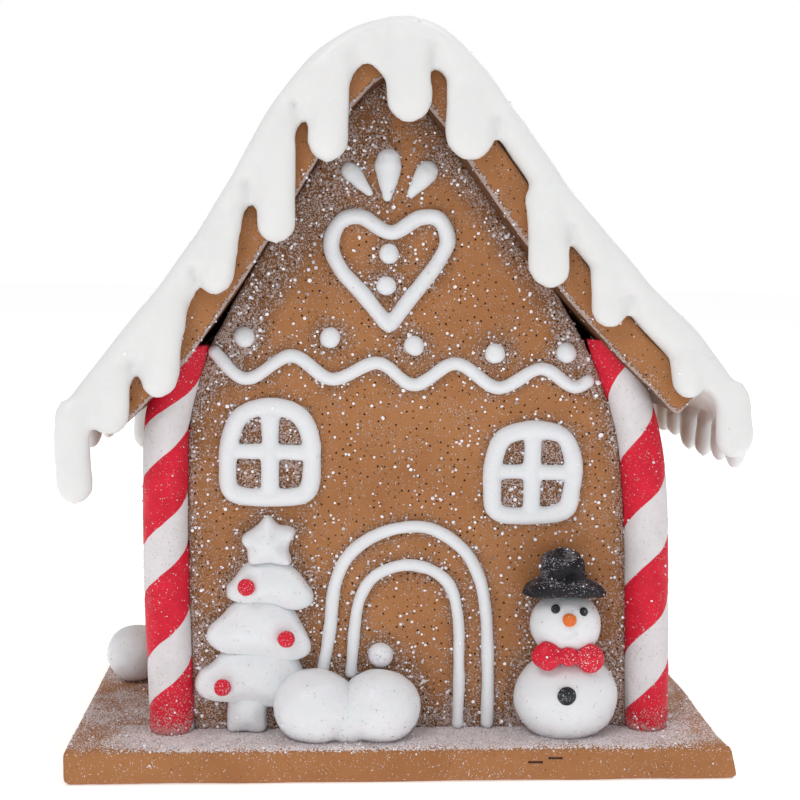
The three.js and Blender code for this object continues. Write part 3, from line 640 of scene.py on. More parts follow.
class Finish:
    """A material built up from procedural layers on Object coordinates."""

    def __init__(self, name, **sockets):
        self.material = bpy.data.materials.new(name)
        self.material.use_nodes = True
        self.nodes = self.material.node_tree.nodes
        self.links = self.material.node_tree.links
        self.shader = self.nodes["Principled BSDF"]
        for socket, value in sockets.items():
            self.shader.inputs[socket.replace("_", " ")].default_value = value
        self.coordinates = self.nodes.new("ShaderNodeTexCoord").outputs["Object"]

    def join(self, value, socket):
        if isinstance(value, bpy.types.NodeSocket):
            self.links.new(value, socket)
        elif socket.type == "RGBA":
            socket.default_value = (*tuple(value)[:3], 1)
        else:
            socket.default_value = value

    def noise(self, width, detail=2.0, roughness=0.5):
        """Cloudy noise whose clouds are about width millimetres wide."""
        node = self.nodes.new("ShaderNodeTexNoise")
        self.links.new(self.coordinates, node.inputs["Vector"])
        node.inputs["Scale"].default_value = 1 / (width * MM)
        node.inputs["Detail"].default_value = detail
        node.inputs["Roughness"].default_value = roughness
        return node.outputs["Fac"]

    def cells(self, width, randomness=1.0):
        """Distance to the nearest of scattered points, about width millimetres apart."""
        node = self.nodes.new("ShaderNodeTexVoronoi")
        self.links.new(self.coordinates, node.inputs["Vector"])
        node.inputs["Scale"].default_value = 1 / (width * MM)
        node.inputs["Randomness"].default_value = randomness
        return node.outputs["Distance"]

    def attribute(self, name, output="Fac"):
        node = self.nodes.new("ShaderNodeAttribute")
        node.attribute_name = name
        return node.outputs[output]

    def between(self, value, low, high, start=0.0, end=1.0):
        node = self.nodes.new("ShaderNodeMapRange")
        self.join(value, node.inputs["Value"])
        node.inputs["From Min"].default_value = low
        node.inputs["From Max"].default_value = high
        node.inputs["To Min"].default_value = start
        node.inputs["To Max"].default_value = end
        return node.outputs["Result"]

    def math(self, operation, a, b=0.0):
        node = self.nodes.new("ShaderNodeMath")
        node.operation = operation
        self.join(a, node.inputs[0])
        self.join(b, node.inputs[1])
        return node.outputs[0]

    def mix(self, factor, a, b):
        node = self.nodes.new("ShaderNodeMix")
        node.data_type = "RGBA"
        self.join(factor, node.inputs[0])
        self.join(a, node.inputs[6])
        self.join(b, node.inputs[7])
        return node.outputs[2]

    def colour(self, value):
        self.join(value, self.shader.inputs["Base Color"])

    def roughness(self, value):
        self.join(value, self.shader.inputs["Roughness"])

    def bump(self, height, distance, strength=1.0):
        """Relief of up to distance millimetres, added to what is there."""
        node = self.nodes.new("ShaderNodeBump")
        self.join(height, node.inputs["Height"])
        node.inputs["Distance"].default_value = distance * MM
        node.inputs["Strength"].default_value = strength
        if self.shader.inputs["Normal"].links:
            self.links.new(self.shader.inputs["Normal"].links[0].from_socket, node.inputs["Normal"])
        self.links.new(node.outputs["Normal"], self.shader.inputs["Normal"])


def frosted_over(finish, colour, sugar, cover=0.9):
    """Sugar-like frosting that covers as much of each spot as the frost attribute says."""
    frost = finish.attribute("frost")
    crumbs = finish.noise(0.36, 1.5)
    patches = finish.noise(3.0, 2.0)
    amount = finish.math("ADD", frost, finish.between(patches, 0.3, 0.7, -0.10, 0.10))
    spread = finish.math("ADD", crumbs, finish.math("MULTIPLY", amount, 0.42))
    covered = finish.math("MULTIPLY", finish.between(spread, 0.68, 0.73), cover)
    finish.bump(covered, 0.06, 0.6)
    return finish.mix(covered, colour, sugar)


def dough_finish(colours, dust, name="brown_clay", porous=True):
    finish = Finish(name, Roughness=0.62, Specular_IOR_Level=0.2)
    clouds = finish.noise(16, 3.0, 0.6)
    colour = finish.mix(finish.between(clouds, 0.35, 0.7), colours.dough, colours.dough_dark)
    mottle = finish.noise(2.2, 3.0, 0.6)
    colour = finish.mix(finish.between(mottle, 0.52, 0.75, 0, 0.4), colour, colours.dough_dark)
    specks = finish.cells(2.3)
    near_speck = finish.between(specks, 0.06, 0.09, 0.6, 0)
    colour = finish.mix(near_speck, colour, colours.frost)
    # Painted shade: where the frost attribute is high, under the roof overhang, beside the canes and at the
    # foot of the walls, the clay is darkened towards a deep brown; round the piping this also gives the
    # darker tone of the dusted clay.
    painted_shade = finish.between(finish.attribute("frost"), 0.10, 0.42, 0, 0.75 if porous else 0.2)
    colour = finish.mix(painted_shade, colour, tuple(c * 0.38 for c in colours.dough_dark))
    colour = frosted_over(finish, colour, dust, 0.9)
    # Painted shade: pinholes, slits, the roof panels' undersides and the fine pinholes drawn here are
    # darkened towards the pinhole colour.
    pit_shade = finish.between(finish.attribute("pit_shade"), 0.35, 0.75)
    if porous:
        fine = finish.between(finish.cells(1.4), 0.09, 0.13, 0.85, 0)
        pit_shade = finish.math("MAXIMUM", pit_shade, fine)
        finish.bump(finish.math("SUBTRACT", 1.0, fine), 0.15, 0.6)
    finish.colour(finish.mix(pit_shade, colour, colours.pinhole_shade))
    finish.roughness(finish.between(mottle, 0.3, 0.7, 0.54, 0.7))
    finish.bump(finish.noise(5, 3.0), 0.25, 0.35)
    finish.bump(finish.noise(0.35, 2.0), 0.03, 0.5)
    return finish.material


def icing_finish(white, name="white_icing"):
    finish = Finish(name, Roughness=0.36, Specular_IOR_Level=0.3, Subsurface_Weight=0.12,
                    Subsurface_Scale=0.8 * MM, Coat_Weight=0.08, Coat_Roughness=0.18)
    shade = tuple(c * s for c, s in zip(white, (0.955, 0.958, 0.955)))
    clouds = finish.noise(9, 3.0, 0.6)
    colour = finish.mix(finish.between(clouds, 0.35, 0.7), white, shade)
    finish.colour(frosted_over(finish, colour, (0.84, 0.83, 0.87), 0.6))
    finish.roughness(finish.between(clouds, 0.3, 0.7, 0.30, 0.44))
    finish.bump(finish.noise(2.5, 2.0), 0.08, 0.3)
    finish.bump(finish.noise(0.5, 2.0), 0.015, 0.5)
    return finish.material


def clay_finish(name, colour, deep, sugar, roughness=0.45):
    """Plain coloured clay with soft clouds, fine grain and some frosting."""
    finish = Finish(name, Specular_IOR_Level=0.22, Coat_Weight=0.05, Coat_Roughness=0.2)
    clouds = finish.noise(3, 3.0, 0.6)
    shown = finish.mix(finish.between(clouds, 0.35, 0.7), colour, deep)
    finish.colour(frosted_over(finish, shown, sugar, 0.75))
    finish.roughness(finish.between(clouds, 0.3, 0.7, roughness - 0.06, roughness + 0.08))
    finish.bump(finish.noise(0.6, 2.0), 0.02, 0.6)
    return finish.material


def cane_finish(name, colours, red_share):
    """Red and white twisted clay. The wrap attribute holds the way a point faces and its turns."""
    finish = Finish(name, Specular_IOR_Level=0.22)
    parts = finish.nodes.new("ShaderNodeSeparateXYZ")
    finish.links.new(finish.attribute("wrap", "Vector"), parts.inputs[0])
    facing = finish.math("ARCTAN2", parts.outputs[1], parts.outputs[0])
    turned = finish.math("DIVIDE", facing, 2 * math.pi)
    wander = finish.between(finish.noise(9, 2.0), 0.3, 0.7, -0.012, 0.012)
    phase = finish.math("SUBTRACT", parts.outputs[2], turned)
    phase = finish.math("FRACT", finish.math("ADD", phase, wander))
    edge = 0.006
    rising = finish.between(phase, 0.0, edge)
    falling = finish.between(phase, red_share, red_share + edge, 1, 0)
    red = finish.math("MULTIPLY", rising, falling)
    clouds = finish.noise(4, 3.0, 0.6)
    deep_red = tuple(c * 0.82 for c in colours.red)
    reds = finish.mix(finish.between(clouds, 0.35, 0.7), colours.red, deep_red)
    whites = finish.mix(finish.between(clouds, 0.35, 0.7), (0.73, 0.69, 0.71), (0.67, 0.64, 0.65))
    finish.colour(frosted_over(finish, finish.mix(red, whites, reds), colours.frost, 0.7))
    finish.roughness(finish.between(clouds, 0.3, 0.7, 0.46, 0.62))
    finish.bump(finish.noise(0.5, 2.0), 0.03, 0.6)
    return finish.material


def glitter_finish(colours, name="glitter"):
    """Small bright flakes, each with its own share of a darker lilac: painted shade for flakes that catch
    no light.
    """
    finish = Finish(name, Roughness=0.22, Specular_IOR_Level=0.8, Metallic=0.15)
    unlit_share = finish.attribute("unlit")
    finish.colour(finish.mix(unlit_share, colours.glitter, colours.glitter_unlit))
    finish.roughness(finish.between(finish.noise(0.3, 1.0), 0.3, 0.7, 0.15, 0.4))
    return finish.material


def sugar_finish(colours):
    finish = Finish("sugar_grains", Roughness=0.5, Specular_IOR_Level=0.5)
    # Painted shade: a share of the grains take a darker copy of the sugar colour, standing for grains in
    # shade.
    unlit_share = finish.attribute("unlit")
    shade = tuple(c * 0.62 for c in colours.sugar)
    finish.colour(finish.mix(unlit_share, colours.sugar, shade))
    finish.roughness(finish.between(finish.noise(0.3, 1.0), 0.3, 0.7, 0.35, 0.65))
    return finish.material


# Sugar frosting and glitter

def line_points(points, loop=False):
    line = spline(points, 6, loop)
    return at_distance(line, np.arange(0, travelled(line)[-1], 1.0))


def nearness_tree(lines):
    """A search tree over [X, Z] lines on the front wall."""
    points = np.vstack(lines)
    tree = KDTree(len(points))
    for i, (x, z) in enumerate(points):
        tree.insert((x, 0, z), i)
    tree.balance()
    return tree


def white_lines():
    circles = [circle(centre, radius) for centre, radius, _ in DROPS.values()]
    windows = [line_points(w["frame"], True) for w in WINDOWS.values()]
    bars = [line_points(bar) for w in WINDOWS.values() for bar in (w["upright"], *w["bars"])]
    tiers = [line_points(tier, True) for tier in (*TREE_TIERS, STAR)]
    drops = [np.linspace(a, b, 8) for a, b, _ in TEARDROPS.values()]
    balls = [SNOWBALLS["snowball_left"], SNOWBALLS["snowball_right"], SNOWMAN["body"], SNOWMAN["head"]]
    rims = [circle((c[0], c[2]), r[0]) for c, r in balls]
    lines = [line_points(p) for p in (ZIGZAG, ARCH_OUTER, ARCH_INNER)]
    return lines + [line_points(HEART, True)] + circles + windows + bars + tiers + drops + rims


def circle(centre, radius, count=24):
    angles = np.linspace(0, 2 * np.pi, count, endpoint=False)
    return np.stack([centre[0] + radius * np.cos(angles), centre[1] + radius * np.sin(angles)], 1)


def wall_edges():
    canes = [line_points(cane["line"]) for cane in CANES.values()]
    foot = np.array([(x, BOARD_TOP - 3) for x in range(-52, 56)], float)
    return [foot, *canes]


def inside_window(x, z):
    for window in WINDOWS.values():
        frame_points = np.array(window["frame"])
        low, high = frame_points.min(0), frame_points.max(0)
        if low[0] < x < high[0] and low[1] < z < high[1]:
            return True
    return False


def front_wall_frost():
    near_white = nearness_tree(white_lines())
    near_roof = nearness_tree([line_points(ROOF_UNDERSIDE)])
    near_edge = nearness_tree(wall_edges())

    def frost(vert):
        x, y, z = vert.co / MM
        if y > WALL_FRONT + 2:
            return 0.1
        white = near_white.find((x, 0, z))[2]
        roof = near_roof.find((x, 0, z))[2]
        edge = near_edge.find((x, 0, z))[2]
        patch = noise.noise(Vector((x, 0, z)) / 9) * 0.10
        # Frost thickens round the piping, along the canes and the foot of the wall, and under the roof. The
        # clay finish also darkens the clay where frost is thick: painted shade under the overhang and
        # beside the canes.
        value = 0.06 + 0.30 * math.exp(-(white / 3.0) ** 2) + 0.5 * math.exp(-max(edge - 4.5, 0) / 3.2)
        band = 9.5 if x < -4 else 5
        value += 0.34 / (1 + math.exp((roof - band) * 0.9))
        if inside_window(x, z):
            value += 0.25
        return min(value + patch, 0.52)
    return frost


def board_frost(vert):
    x, y, z = vert.co / MM
    if vert.normal.z < 0.6:
        return 0.03 + 0.25 * max(0, (z - 6.6) / 1.4)
    patch = noise.noise(Vector((x, y, 3)) / 11) * 0.22 + noise.noise(Vector((x, y, 9)) / 4) * 0.14
    in_front = 0.80 if y < -38 else 0.40
    if y < -38 and abs(x) > 55:
        in_front -= 0.03 * min(abs(x) - 55, 14)
    rim = 0.35 * math.exp(-(y + 55) / 1.5)
    house = max(abs(x) - 52, abs(y) - 41, 0)
    return in_front - rim + patch * (0.6 if y < -38 else 1.3) + 0.35 * math.exp(-house / 2.5)


def plain_frost(level, foot=0.0, patch=0.1):
    """Even frosting with soft patches, and more of it near the board."""
    def frost(vert):
        place = vert.co / (12 * MM)
        above = vert.co.z / MM - BOARD_TOP
        return level + noise.noise(place) * patch + foot * math.exp(-max(above, 0) / 5)
    return frost


def triangles_of(piece):
    """Corners, areas, outward directions and frosting of a piece's triangles."""
    mesh = piece.data
    mesh.calc_loop_triangles()
    corners = np.zeros(len(mesh.vertices) * 3, np.float32)
    mesh.vertices.foreach_get("co", corners)
    index = np.zeros(len(mesh.loop_triangles) * 3, np.int32)
    mesh.loop_triangles.foreach_get("vertices", index)
    index = index.reshape(-1, 3)
    points = corners.reshape(-1, 3)[index]
    across = np.cross(points[:, 1] - points[:, 0], points[:, 2] - points[:, 0])
    doubled = np.linalg.norm(across, axis=1)
    frost = np.zeros(len(mesh.vertices), np.float32)
    if "frost" in mesh.attributes:
        mesh.attributes["frost"].data.foreach_get("value", frost)
    return points, doubled / 2, across / np.maximum(doubled, 1e-20)[:, None], frost[index].mean(1)


def scattered_places(pieces, density, rng, limit):
    """Random places on pieces, density(frost) of them in each square millimetre."""
    places, outward = [], []
    for piece in pieces:
        points, areas, normals, frost = triangles_of(piece)
        weight = areas / MM ** 2 * density(frost, points.mean(1), normals)
        count = int(weight.sum())
        if not count:
            continue
        chosen = rng.choice(len(points), size=count, p=weight / weight.sum())
        a, b = rng.random((2, count))
        turned = a + b > 1
        a[turned], b[turned] = 1 - a[turned], 1 - b[turned]
        corner = points[chosen]
        places.append(corner[:, 0] + a[:, None] * (corner[:, 1] - corner[:, 0])
                      + b[:, None] * (corner[:, 2] - corner[:, 0]))
        outward.append(normals[chosen])
    places, outward = np.vstack(places), np.vstack(outward)
    if len(places) > limit:
        kept = np.sort(rng.choice(len(places), size=limit, replace=False))
        places, outward = places[kept], outward[kept]
    return places, outward


def grain_shape(around, flatness):
    """A small double cone with a round waist, one unit wide."""
    bm = bmesh.new()
    bmesh.ops.create_uvsphere(bm, u_segments=around, v_segments=2, radius=0.5)
    bmesh.ops.scale(bm, vec=(1, 1, flatness), verts=bm.verts)
    bm.verts.ensure_lookup_table()
    bm.faces.ensure_lookup_table()
    corners = np.array([vert.co for vert in bm.verts])
    faces = np.array([[vert.index for vert in face.verts] for face in bm.faces])
    bm.free()
    return corners, faces


def scatter(name, pieces, density, width, shape, tilt, material, seed, limit, lift=0.25, unlit=0.4):
    """Joins many small copies of a shape into one piece, laid on other pieces at random tilts."""
    rng = np.random.default_rng(seed)
    places, outward = scattered_places(pieces, density, rng, limit)
    count = len(places)
    corners, faces = shape
    sizes = width * np.exp(rng.normal(0, 0.22, count))
    lean = outward + rng.normal(0, tilt, (count, 3))
    lean /= np.linalg.norm(lean, axis=1)[:, None]
    side = np.cross(lean, rng.normal(0, 1, (count, 3)))
    side /= np.linalg.norm(side, axis=1)[:, None]
    other = np.cross(lean, side)
    turned = (corners[None, :, 0:1] * side[:, None] + corners[None, :, 1:2] * other[:, None]
              + corners[None, :, 2:3] * lean[:, None])
    middle = places + outward * sizes[:, None] * lift
    points = turned * sizes[:, None, None] + middle[:, None]
    low, high = (np.array(corner) for corner in CAD_BOX)
    points += (np.maximum(low - points.min(1), 0) - np.maximum(points.max(1) - high, 0))[:, None]
    points = points.reshape(-1, 3)
    index = (faces[None] + (np.arange(count) * len(corners))[:, None, None]).reshape(-1, faces.shape[1])
    mesh = bpy.data.meshes.new(name)
    mesh.from_pydata(points.tolist(), [], index.tolist())
    # Painted shade: a share of the copies are marked to take a darker, shaded copy of their colour.
    shade = np.where(rng.random(count) < unlit, rng.uniform(0.45, 1.0, count), rng.uniform(0, 0.15, count))
    layer = mesh.attributes.new("unlit", "FLOAT", "POINT")
    layer.data.foreach_set("value", np.repeat(shade, len(corners)).astype(np.float32))
    mesh.materials.append(material)
    return placed(mesh, name, (), smooth=False)


# Operators

class HouseOperator:
    """What every operator here shares."""
    bl_options = {"REGISTER", "UNDO"}

    def settings(self, context):
        scene = context.scene
        return scene.gingerbread_colours, scene.gingerbread_sizes


def shared_material(name, make):
    return bpy.data.materials.get(name) or make()


class GINGERBREAD_OT_stage(HouseOperator, bpy.types.Operator):
    """Add the pale floor, the soft light and the camera"""
    bl_idname = "gingerbread.stage"
    bl_label = "Stage"

    def execute(self, context):
        self.floor()
        self.light(context.scene)
        self.camera(context.scene)
        context.scene.view_settings.view_transform = "Standard"
        context.scene.view_settings.look = "None"
        return {"FINISHED"}

    def floor(self):
        bm = bmesh.new()
        bmesh.ops.create_circle(bm, cap_ends=True, segments=96, radius=6)
        mesh = bpy.data.meshes.new("floor")
        bm.to_mesh(mesh)
        bm.free()
        floor = bpy.data.objects.new("floor", mesh)
        bpy.context.scene.collection.objects.link(floor)
        finish = Finish("pale_floor", Roughness=0.9, Specular_IOR_Level=0.1,
                        Emission_Color=(1, 1, 1, 1), Emission_Strength=1.0 - SKY)
        clouds = finish.between(finish.noise(40, 2.0), 0.3, 0.7)
        finish.colour(finish.mix(clouds, (0.98, 0.98, 0.98), (0.97, 0.97, 0.97)))
        mesh.materials.append(finish.material)
        floor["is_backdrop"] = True

    def light(self, scene):
        world = bpy.data.worlds.new("soft_studio")
        world.use_nodes = True
        nodes, links = world.node_tree.nodes, world.node_tree.links
        seen = nodes.new("ShaderNodeLightPath").outputs["Is Camera Ray"]
        strength = nodes.new("ShaderNodeMapRange")
        strength.inputs["To Min"].default_value = SKY
        strength.inputs["To Max"].default_value = 1.0
        links.new(seen, strength.inputs["Value"])
        links.new(strength.outputs["Result"], nodes["Background"].inputs["Strength"])
        nodes["Background"].inputs["Color"].default_value = (1, 1, 1, 1)
        scene.world = world
        for name, place, size, power in LAMPS:
            lamp = bpy.data.lights.new(name, "AREA")
            lamp.energy = power
            lamp.size = size
            holder = bpy.data.objects.new(name, lamp)
            holder.location = place
            aim = Vector(LAMP_AIM) - Vector(place)
            holder.rotation_euler = aim.to_track_quat("-Z", "Y").to_euler()
            scene.collection.objects.link(holder)

    def camera(self, scene):
        """At the height and turn from which the board's corners line up as seen."""
        yaw, pitch, roll = (math.radians(angle) for angle in CAMERA_TURN)
        ahead = Vector((math.sin(yaw) * math.cos(pitch), math.cos(yaw) * math.cos(pitch), -math.sin(pitch)))
        right = Vector((math.cos(yaw), -math.sin(yaw), 0))
        up = right.cross(ahead)
        side = right * math.cos(roll) + up * math.sin(roll)
        top = up * math.cos(roll) - right * math.sin(roll)
        lens = bpy.data.cameras.new("camera")
        lens.sensor_width = 36
        lens.lens = LENS
        lens.clip_start = 0.01
        camera = bpy.data.objects.new("camera", lens)
        turn = Matrix((side, top, -ahead)).transposed().to_4x4()
        camera.matrix_world = Matrix.Translation(Vector(CAMERA_PLACE) * MM) @ turn
        scene.collection.objects.link(camera)
        scene.camera = camera


class GINGERBREAD_OT_board(HouseOperator, bpy.types.Operator):
    """Make the clay base board, with its frosted top"""
    bl_idname = "gingerbread.board"
    bl_label = "Base board"

    def execute(self, context):
        colours, sizes = self.settings(context)
        low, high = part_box("base_board")
        bm = one_skin(copied("base_board"), sizes.slab_spacing, 2)
        knead(bm, ((0.22, 15), (0.07, 3)), sizes.seed)
        keep_inside(bm, low, high)
        self.flare(bm)
        bm.normal_update()
        painted(bm, "frost", board_frost)
        sides = [face for face in bm.faces if abs(face.normal.z) < 0.3 and face.normal.y < 0.5]
        prick(bm, sides, 60, 0.26, 0.15, sizes.seed + 1)
        self.slits(bm)
        material = shared_material("smooth_brown_clay",
                                   lambda: dough_finish(colours, colours.dust, "smooth_brown_clay", False))
        finished(bm, "clay_board", material, ["base_board"])
        return {"FINISHED"}

    def flare(self, bm):
        """The lower edge swells out at the front right corner."""
        for vert in bm.verts:
            x, y, z = vert.co / MM
            if x > 70 and y < -35:
                vert.co.x += 1.9 * (1 - z / BOARD_TOP) * min(1, (-35 - y) / 18) * MM

    def slits(self, bm):
        """Short slits in the front edge, sunk a little, with painted shade inside."""
        pit_shade = bm.verts.layers.float["pit_shade"]
        for left, right, height in BOARD_SLITS:
            faces = []
            for face in bm.faces:
                x, y, z = face.calc_center_median() / MM
                if face.normal.y < -0.8 and left - 0.4 < x < right + 0.4 and abs(z - height) < 0.45:
                    faces.append(face)
            bmesh.ops.inset_region(bm, faces=faces, thickness=0.33 * MM, depth=-0.25 * MM)
            for vert in {vert for face in faces for vert in face.verts}:
                vert[pit_shade] = 0.85


class GINGERBREAD_OT_walls(HouseOperator, bpy.types.Operator):
    """Make the four clay walls, with pinholes and frosting"""
    bl_idname = "gingerbread.walls"
    bl_label = "Walls"

    def execute(self, context):
        colours, sizes = self.settings(context)
        material = shared_material("brown_clay", lambda: dough_finish(colours, colours.frost))
        for number, node in enumerate(WALL_NODES):
            front = node == "front_wall"
            bm = one_skin(copied(node), sizes.wall_spacing if front else sizes.slab_spacing, 2)
            knead(bm, ((0.28, 13), (0.10, 4)), sizes.seed + number, 0.1)
            if front:
                self.spread(bm, 0.6)
            painted(bm, "frost", front_wall_frost() if front else plain_frost(0.1, 0.5, 0.2))
            outer = self.outer_faces(bm, node)
            shuffled(bm, outer, 0.16, sizes.seed + number)
            area = sum(face.calc_area() for face in outer) / MM ** 2
            density = sizes.pinholes if front else sizes.pinholes * 0.8
            prick(bm, outer, int(area * density), 0.44, 0.25, sizes.seed + 10 + number)
            finished(bm, f"clay_{node}", material, [node])
        return {"FINISHED"}

    def spread(self, bm, reach):
        """Fills the outline out, up to the canes and into the roof, and leaves the faces as they are."""
        bm.normal_update()
        for vert in bm.verts:
            vert.co += Vector((vert.normal.x, 0, vert.normal.z)) * reach * MM

    def outer_faces(self, bm, node):
        bm.normal_update()
        outward = {"front_wall": (0, -1, 0), "back_wall": (0, 1, 0), "left_wall": (-1, 0, 0),
                   "right_wall": (1, 0, 0)}[node]
        return [face for face in bm.faces if face.normal.dot(Vector(outward)) > 0.9]


class GINGERBREAD_OT_roof(HouseOperator, bpy.types.Operator):
    """Make the two clay roof panels"""
    bl_idname = "gingerbread.roof"
    bl_label = "Roof panels"

    def execute(self, context):
        colours, sizes = self.settings(context)
        material = shared_material("brown_clay", lambda: dough_finish(colours, colours.frost))
        for number, side in enumerate(("left", "right")):
            node = f"roof_panel_{side}"
            low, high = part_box(node)
            bm = one_skin(copied(node), sizes.slab_spacing, 1)
            knead(bm, ((0.35, 16), (0.12, 5)), sizes.seed + 30 + number)
            keep_inside(bm, low, high)
            painted(bm, "frost", self.frost)
            ends = [face for face in bm.faces if abs(face.normal.y) > 0.8]
            prick(bm, ends, 110, 0.35, 0.2, sizes.seed + 40 + number)
            self.shade(bm)
            finished(bm, f"clay_{node}", material, [node])
        return {"FINISHED"}

    def shade(self, bm):
        """Painted shade: the underside, short of the end faces, is darkened with the pinhole colour to
        stand for the shade under the roof.
        """
        pit_shade = bm.verts.layers.float["pit_shade"]
        for vert in bm.verts:
            if vert.normal.z < -0.2 and abs(vert.co.y) < PANEL_END * MM:
                vert[pit_shade] = 0.62

    def frost(self, vert):
        """Speckled along the lower edge of the end faces, plain above."""
        patch = noise.noise(vert.co / (9 * MM)) * 0.10
        lower = 0.8 if vert.normal.z < -0.25 and abs(vert.co.y) > PANEL_END * MM else 0
        return 0.10 + patch + lower


class GINGERBREAD_OT_icing(HouseOperator, bpy.types.Operator):
    """Make the thick roof icing with its drips"""
    bl_idname = "gingerbread.icing"
    bl_label = "Roof icing"

    def execute(self, context):
        colours, sizes = self.settings(context)
        parts = [self.sheet()]
        parts += [self.bead(end) for end in (-1, 1)]
        parts += self.drips(sizes.seed) + self.webs()
        bm = one_skin(heaped(parts), sizes.icing_spacing, 6)
        self.rivulets(bm)
        knead(bm, ((0.7, 24), (0.3, 8)), sizes.seed + 50)
        for x, z, _, _ in NOTCHES:
            lean = -0.35 if x < 0 else 0.05
            dent(bm, [(x + lean * up, -54, z + up) for up in (1.2, 2.6, 4)], 1.15, 1.2, (0, 1, 0))
        low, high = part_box("roof_icing")
        keep_inside(bm, low, high)
        painted(bm, "frost", plain_frost(0.02, 0, 0.06))
        material = shared_material("white_icing", lambda: icing_finish(colours.icing))
        finished(bm, "thick_icing", material, ["roof_icing"])
        return {"FINISHED"}

    def rivulets(self, bm):
        """Soft runs down both slopes, deeper towards the eaves, where they feed the drips."""
        bm.normal_update()
        for vert in bm.verts:
            x, y, z = vert.co / MM
            if abs(y) < 52 and vert.normal.z > 0.1:
                run = noise.noise(Vector((0, y / 6, z / 60)))
                vert.co += vert.normal * (0.9 * run * min(1, abs(x + 4) / 62)) * MM

    def section(self, steps):
        """Inner and outer line of the icing, from the left eave to the right eave."""
        inner = offset_line(spline(ROOF_UNDERSIDE, 10, power=0), ROOF_THICK + ICING_GAP)
        outer = spline(ICING_OUTER, 10, power=0)
        share = np.linspace(0, 1, steps + 1)
        inner = at_distance(inner, share * travelled(inner)[-1])
        outer = at_distance(outer, share * travelled(outer)[-1])
        return inner, outer

    def sheet(self):
        steps = 150
        inner, outer = self.section(steps)
        middle = (inner + outer) / 2
        half = np.linalg.norm(outer - inner, axis=1) / 2

        def place(turn, step):
            angle = 2 * math.pi * turn
            edge = min(half[step], 3.0)
            y = math.copysign(ICING_HALF_LENGTH - edge, math.cos(angle)) + edge * math.cos(angle)
            toward = (outer[step] - inner[step]) / 2
            x, z = middle[step] + toward * math.sin(angle)
            return x, y, z

        bm = wrapped(24, steps, place)
        close_ends(bm)
        return bm

    def bead(self, end):
        """Rounded front or back rim of the icing, lapping over the ends of the roof panels."""
        steps = 160
        inner, outer = self.section(steps)
        up = (outer - inner) / np.linalg.norm(outer - inner, axis=1)[:, None]
        lower = np.full(len(inner), BACK_LIP)
        if end < 0:
            notches = sorted(NOTCHES)
            for _ in range(4):
                rim = inner[:, 0] + up[:, 0] * (lower - ROOF_THICK - ICING_GAP)
                lower = np.interp(rim, [n[0] for n in notches], [n[2] for n in notches])
            lower = np.where(np.abs(rim + 4) < 5, np.minimum(lower, 1.5), lower)
        centre = inner + up * ((lower + BEAD_TOP) / 2 - ROOF_THICK - ICING_GAP)[:, None]
        half = (BEAD_TOP - lower) / 2

        def place(turn, step):
            angle = 2 * math.pi * turn
            fade = min(1, step / 4, (steps - step) / 4)
            across = math.copysign(abs(math.sin(angle)) ** 0.8, math.sin(angle))
            y = end * 51.4 + 1.7 * math.cos(angle) * fade
            x, z = centre[step] + up[step] * half[step] * across * fade
            return x, y, z

        return wrapped(16, steps, place)

    def webs(self):
        """Icing that runs from each notch down into the side of the next drip."""
        fingers = []
        for x, z, _, number in (*NOTCHES, RIDGE_NOTCH):
            drip_x, half_width, tip, _ = FRONT_DRIPS[number]
            downhill = math.copysign(0.5 * half_width, drip_x - x)
            end = (drip_x, -52.4, tip + 0.58 * (z - tip) + 1)
            fingers.append(finger((x + downhill, -51.8, z + 3), end, 0.55 * half_width, 2.0))
        return fingers

    def drips(self, seed):
        middle = offset_line(spline(ROOF_UNDERSIDE, 10, power=0), ROOF_THICK + 3)
        rng = random.Random(seed)
        fingers = []
        for x, half_width, tip, root_x in FRONT_DRIPS:
            root = float(np.interp(root_x, middle[:, 0], middle[:, 1]))
            fingers.append(finger((root_x, -52.6, root), (x, -52.8, tip), half_width, 2.7))
        x = -70.0
        while x < 72:
            root = float(np.interp(x, middle[:, 0], middle[:, 1]))
            end = (x + rng.uniform(-1, 1), 52.8, root - rng.uniform(14, 34))
            fingers.append(finger((x, 52.6, root), end, rng.uniform(3.2, 4.6), 2.7))
            x += rng.uniform(10.5, 14.5)
        for edge in (-75.3, 75.4):
            y = -45.0
            while y < 47:
                end = (edge + rng.uniform(-0.4, 0.4), y, rng.uniform(69, 75.5))
                fingers.append(finger((edge, y, 82), end, 2.3, rng.uniform(3.2, 4.8)))
                y += rng.uniform(11, 17)
        return fingers


def offset_line(line, height):
    """A line in the X-Z plane moved square to itself, to its left."""
    along = headings(line)
    return line + np.stack([-along[:, 1], along[:, 0]], 1) * height


def finger(root, tip, half_x, half_y):
    """A drip of icing: parallel sides, slightly fuller near its round tip."""
    start, end = np.array(root, float), np.array(tip, float)
    length = np.linalg.norm(end - start)
    reach = 26
    rounding = max(half_x, half_y) * 1.05
    body = np.linspace(0, length - rounding, reach - 7)
    cap = length - rounding * (1 - np.sin(np.linspace(0, np.pi / 2, 9)))[1:]
    stations = np.concatenate([body, cap])

    def place(turn, step):
        s = stations[step]
        left = length - s
        size = 1.0 if left > rounding else math.sqrt(max(0, 1 - (1 - left / rounding) ** 2))
        size *= 0.55 + 0.45 * min(1, s / 3.0)
        size *= 1 + 0.07 * math.exp(-((left - rounding * 1.1) / (0.8 * rounding)) ** 2)
        centre = start + (end - start) * s / length
        angle = 2 * math.pi * turn
        return (centre[0] + half_x * size * math.cos(angle), centre[1] + half_y * size * math.sin(angle),
                centre[2])

    bm = wrapped(20, len(stations) - 1, place)
    close_ends(bm)
    return bm


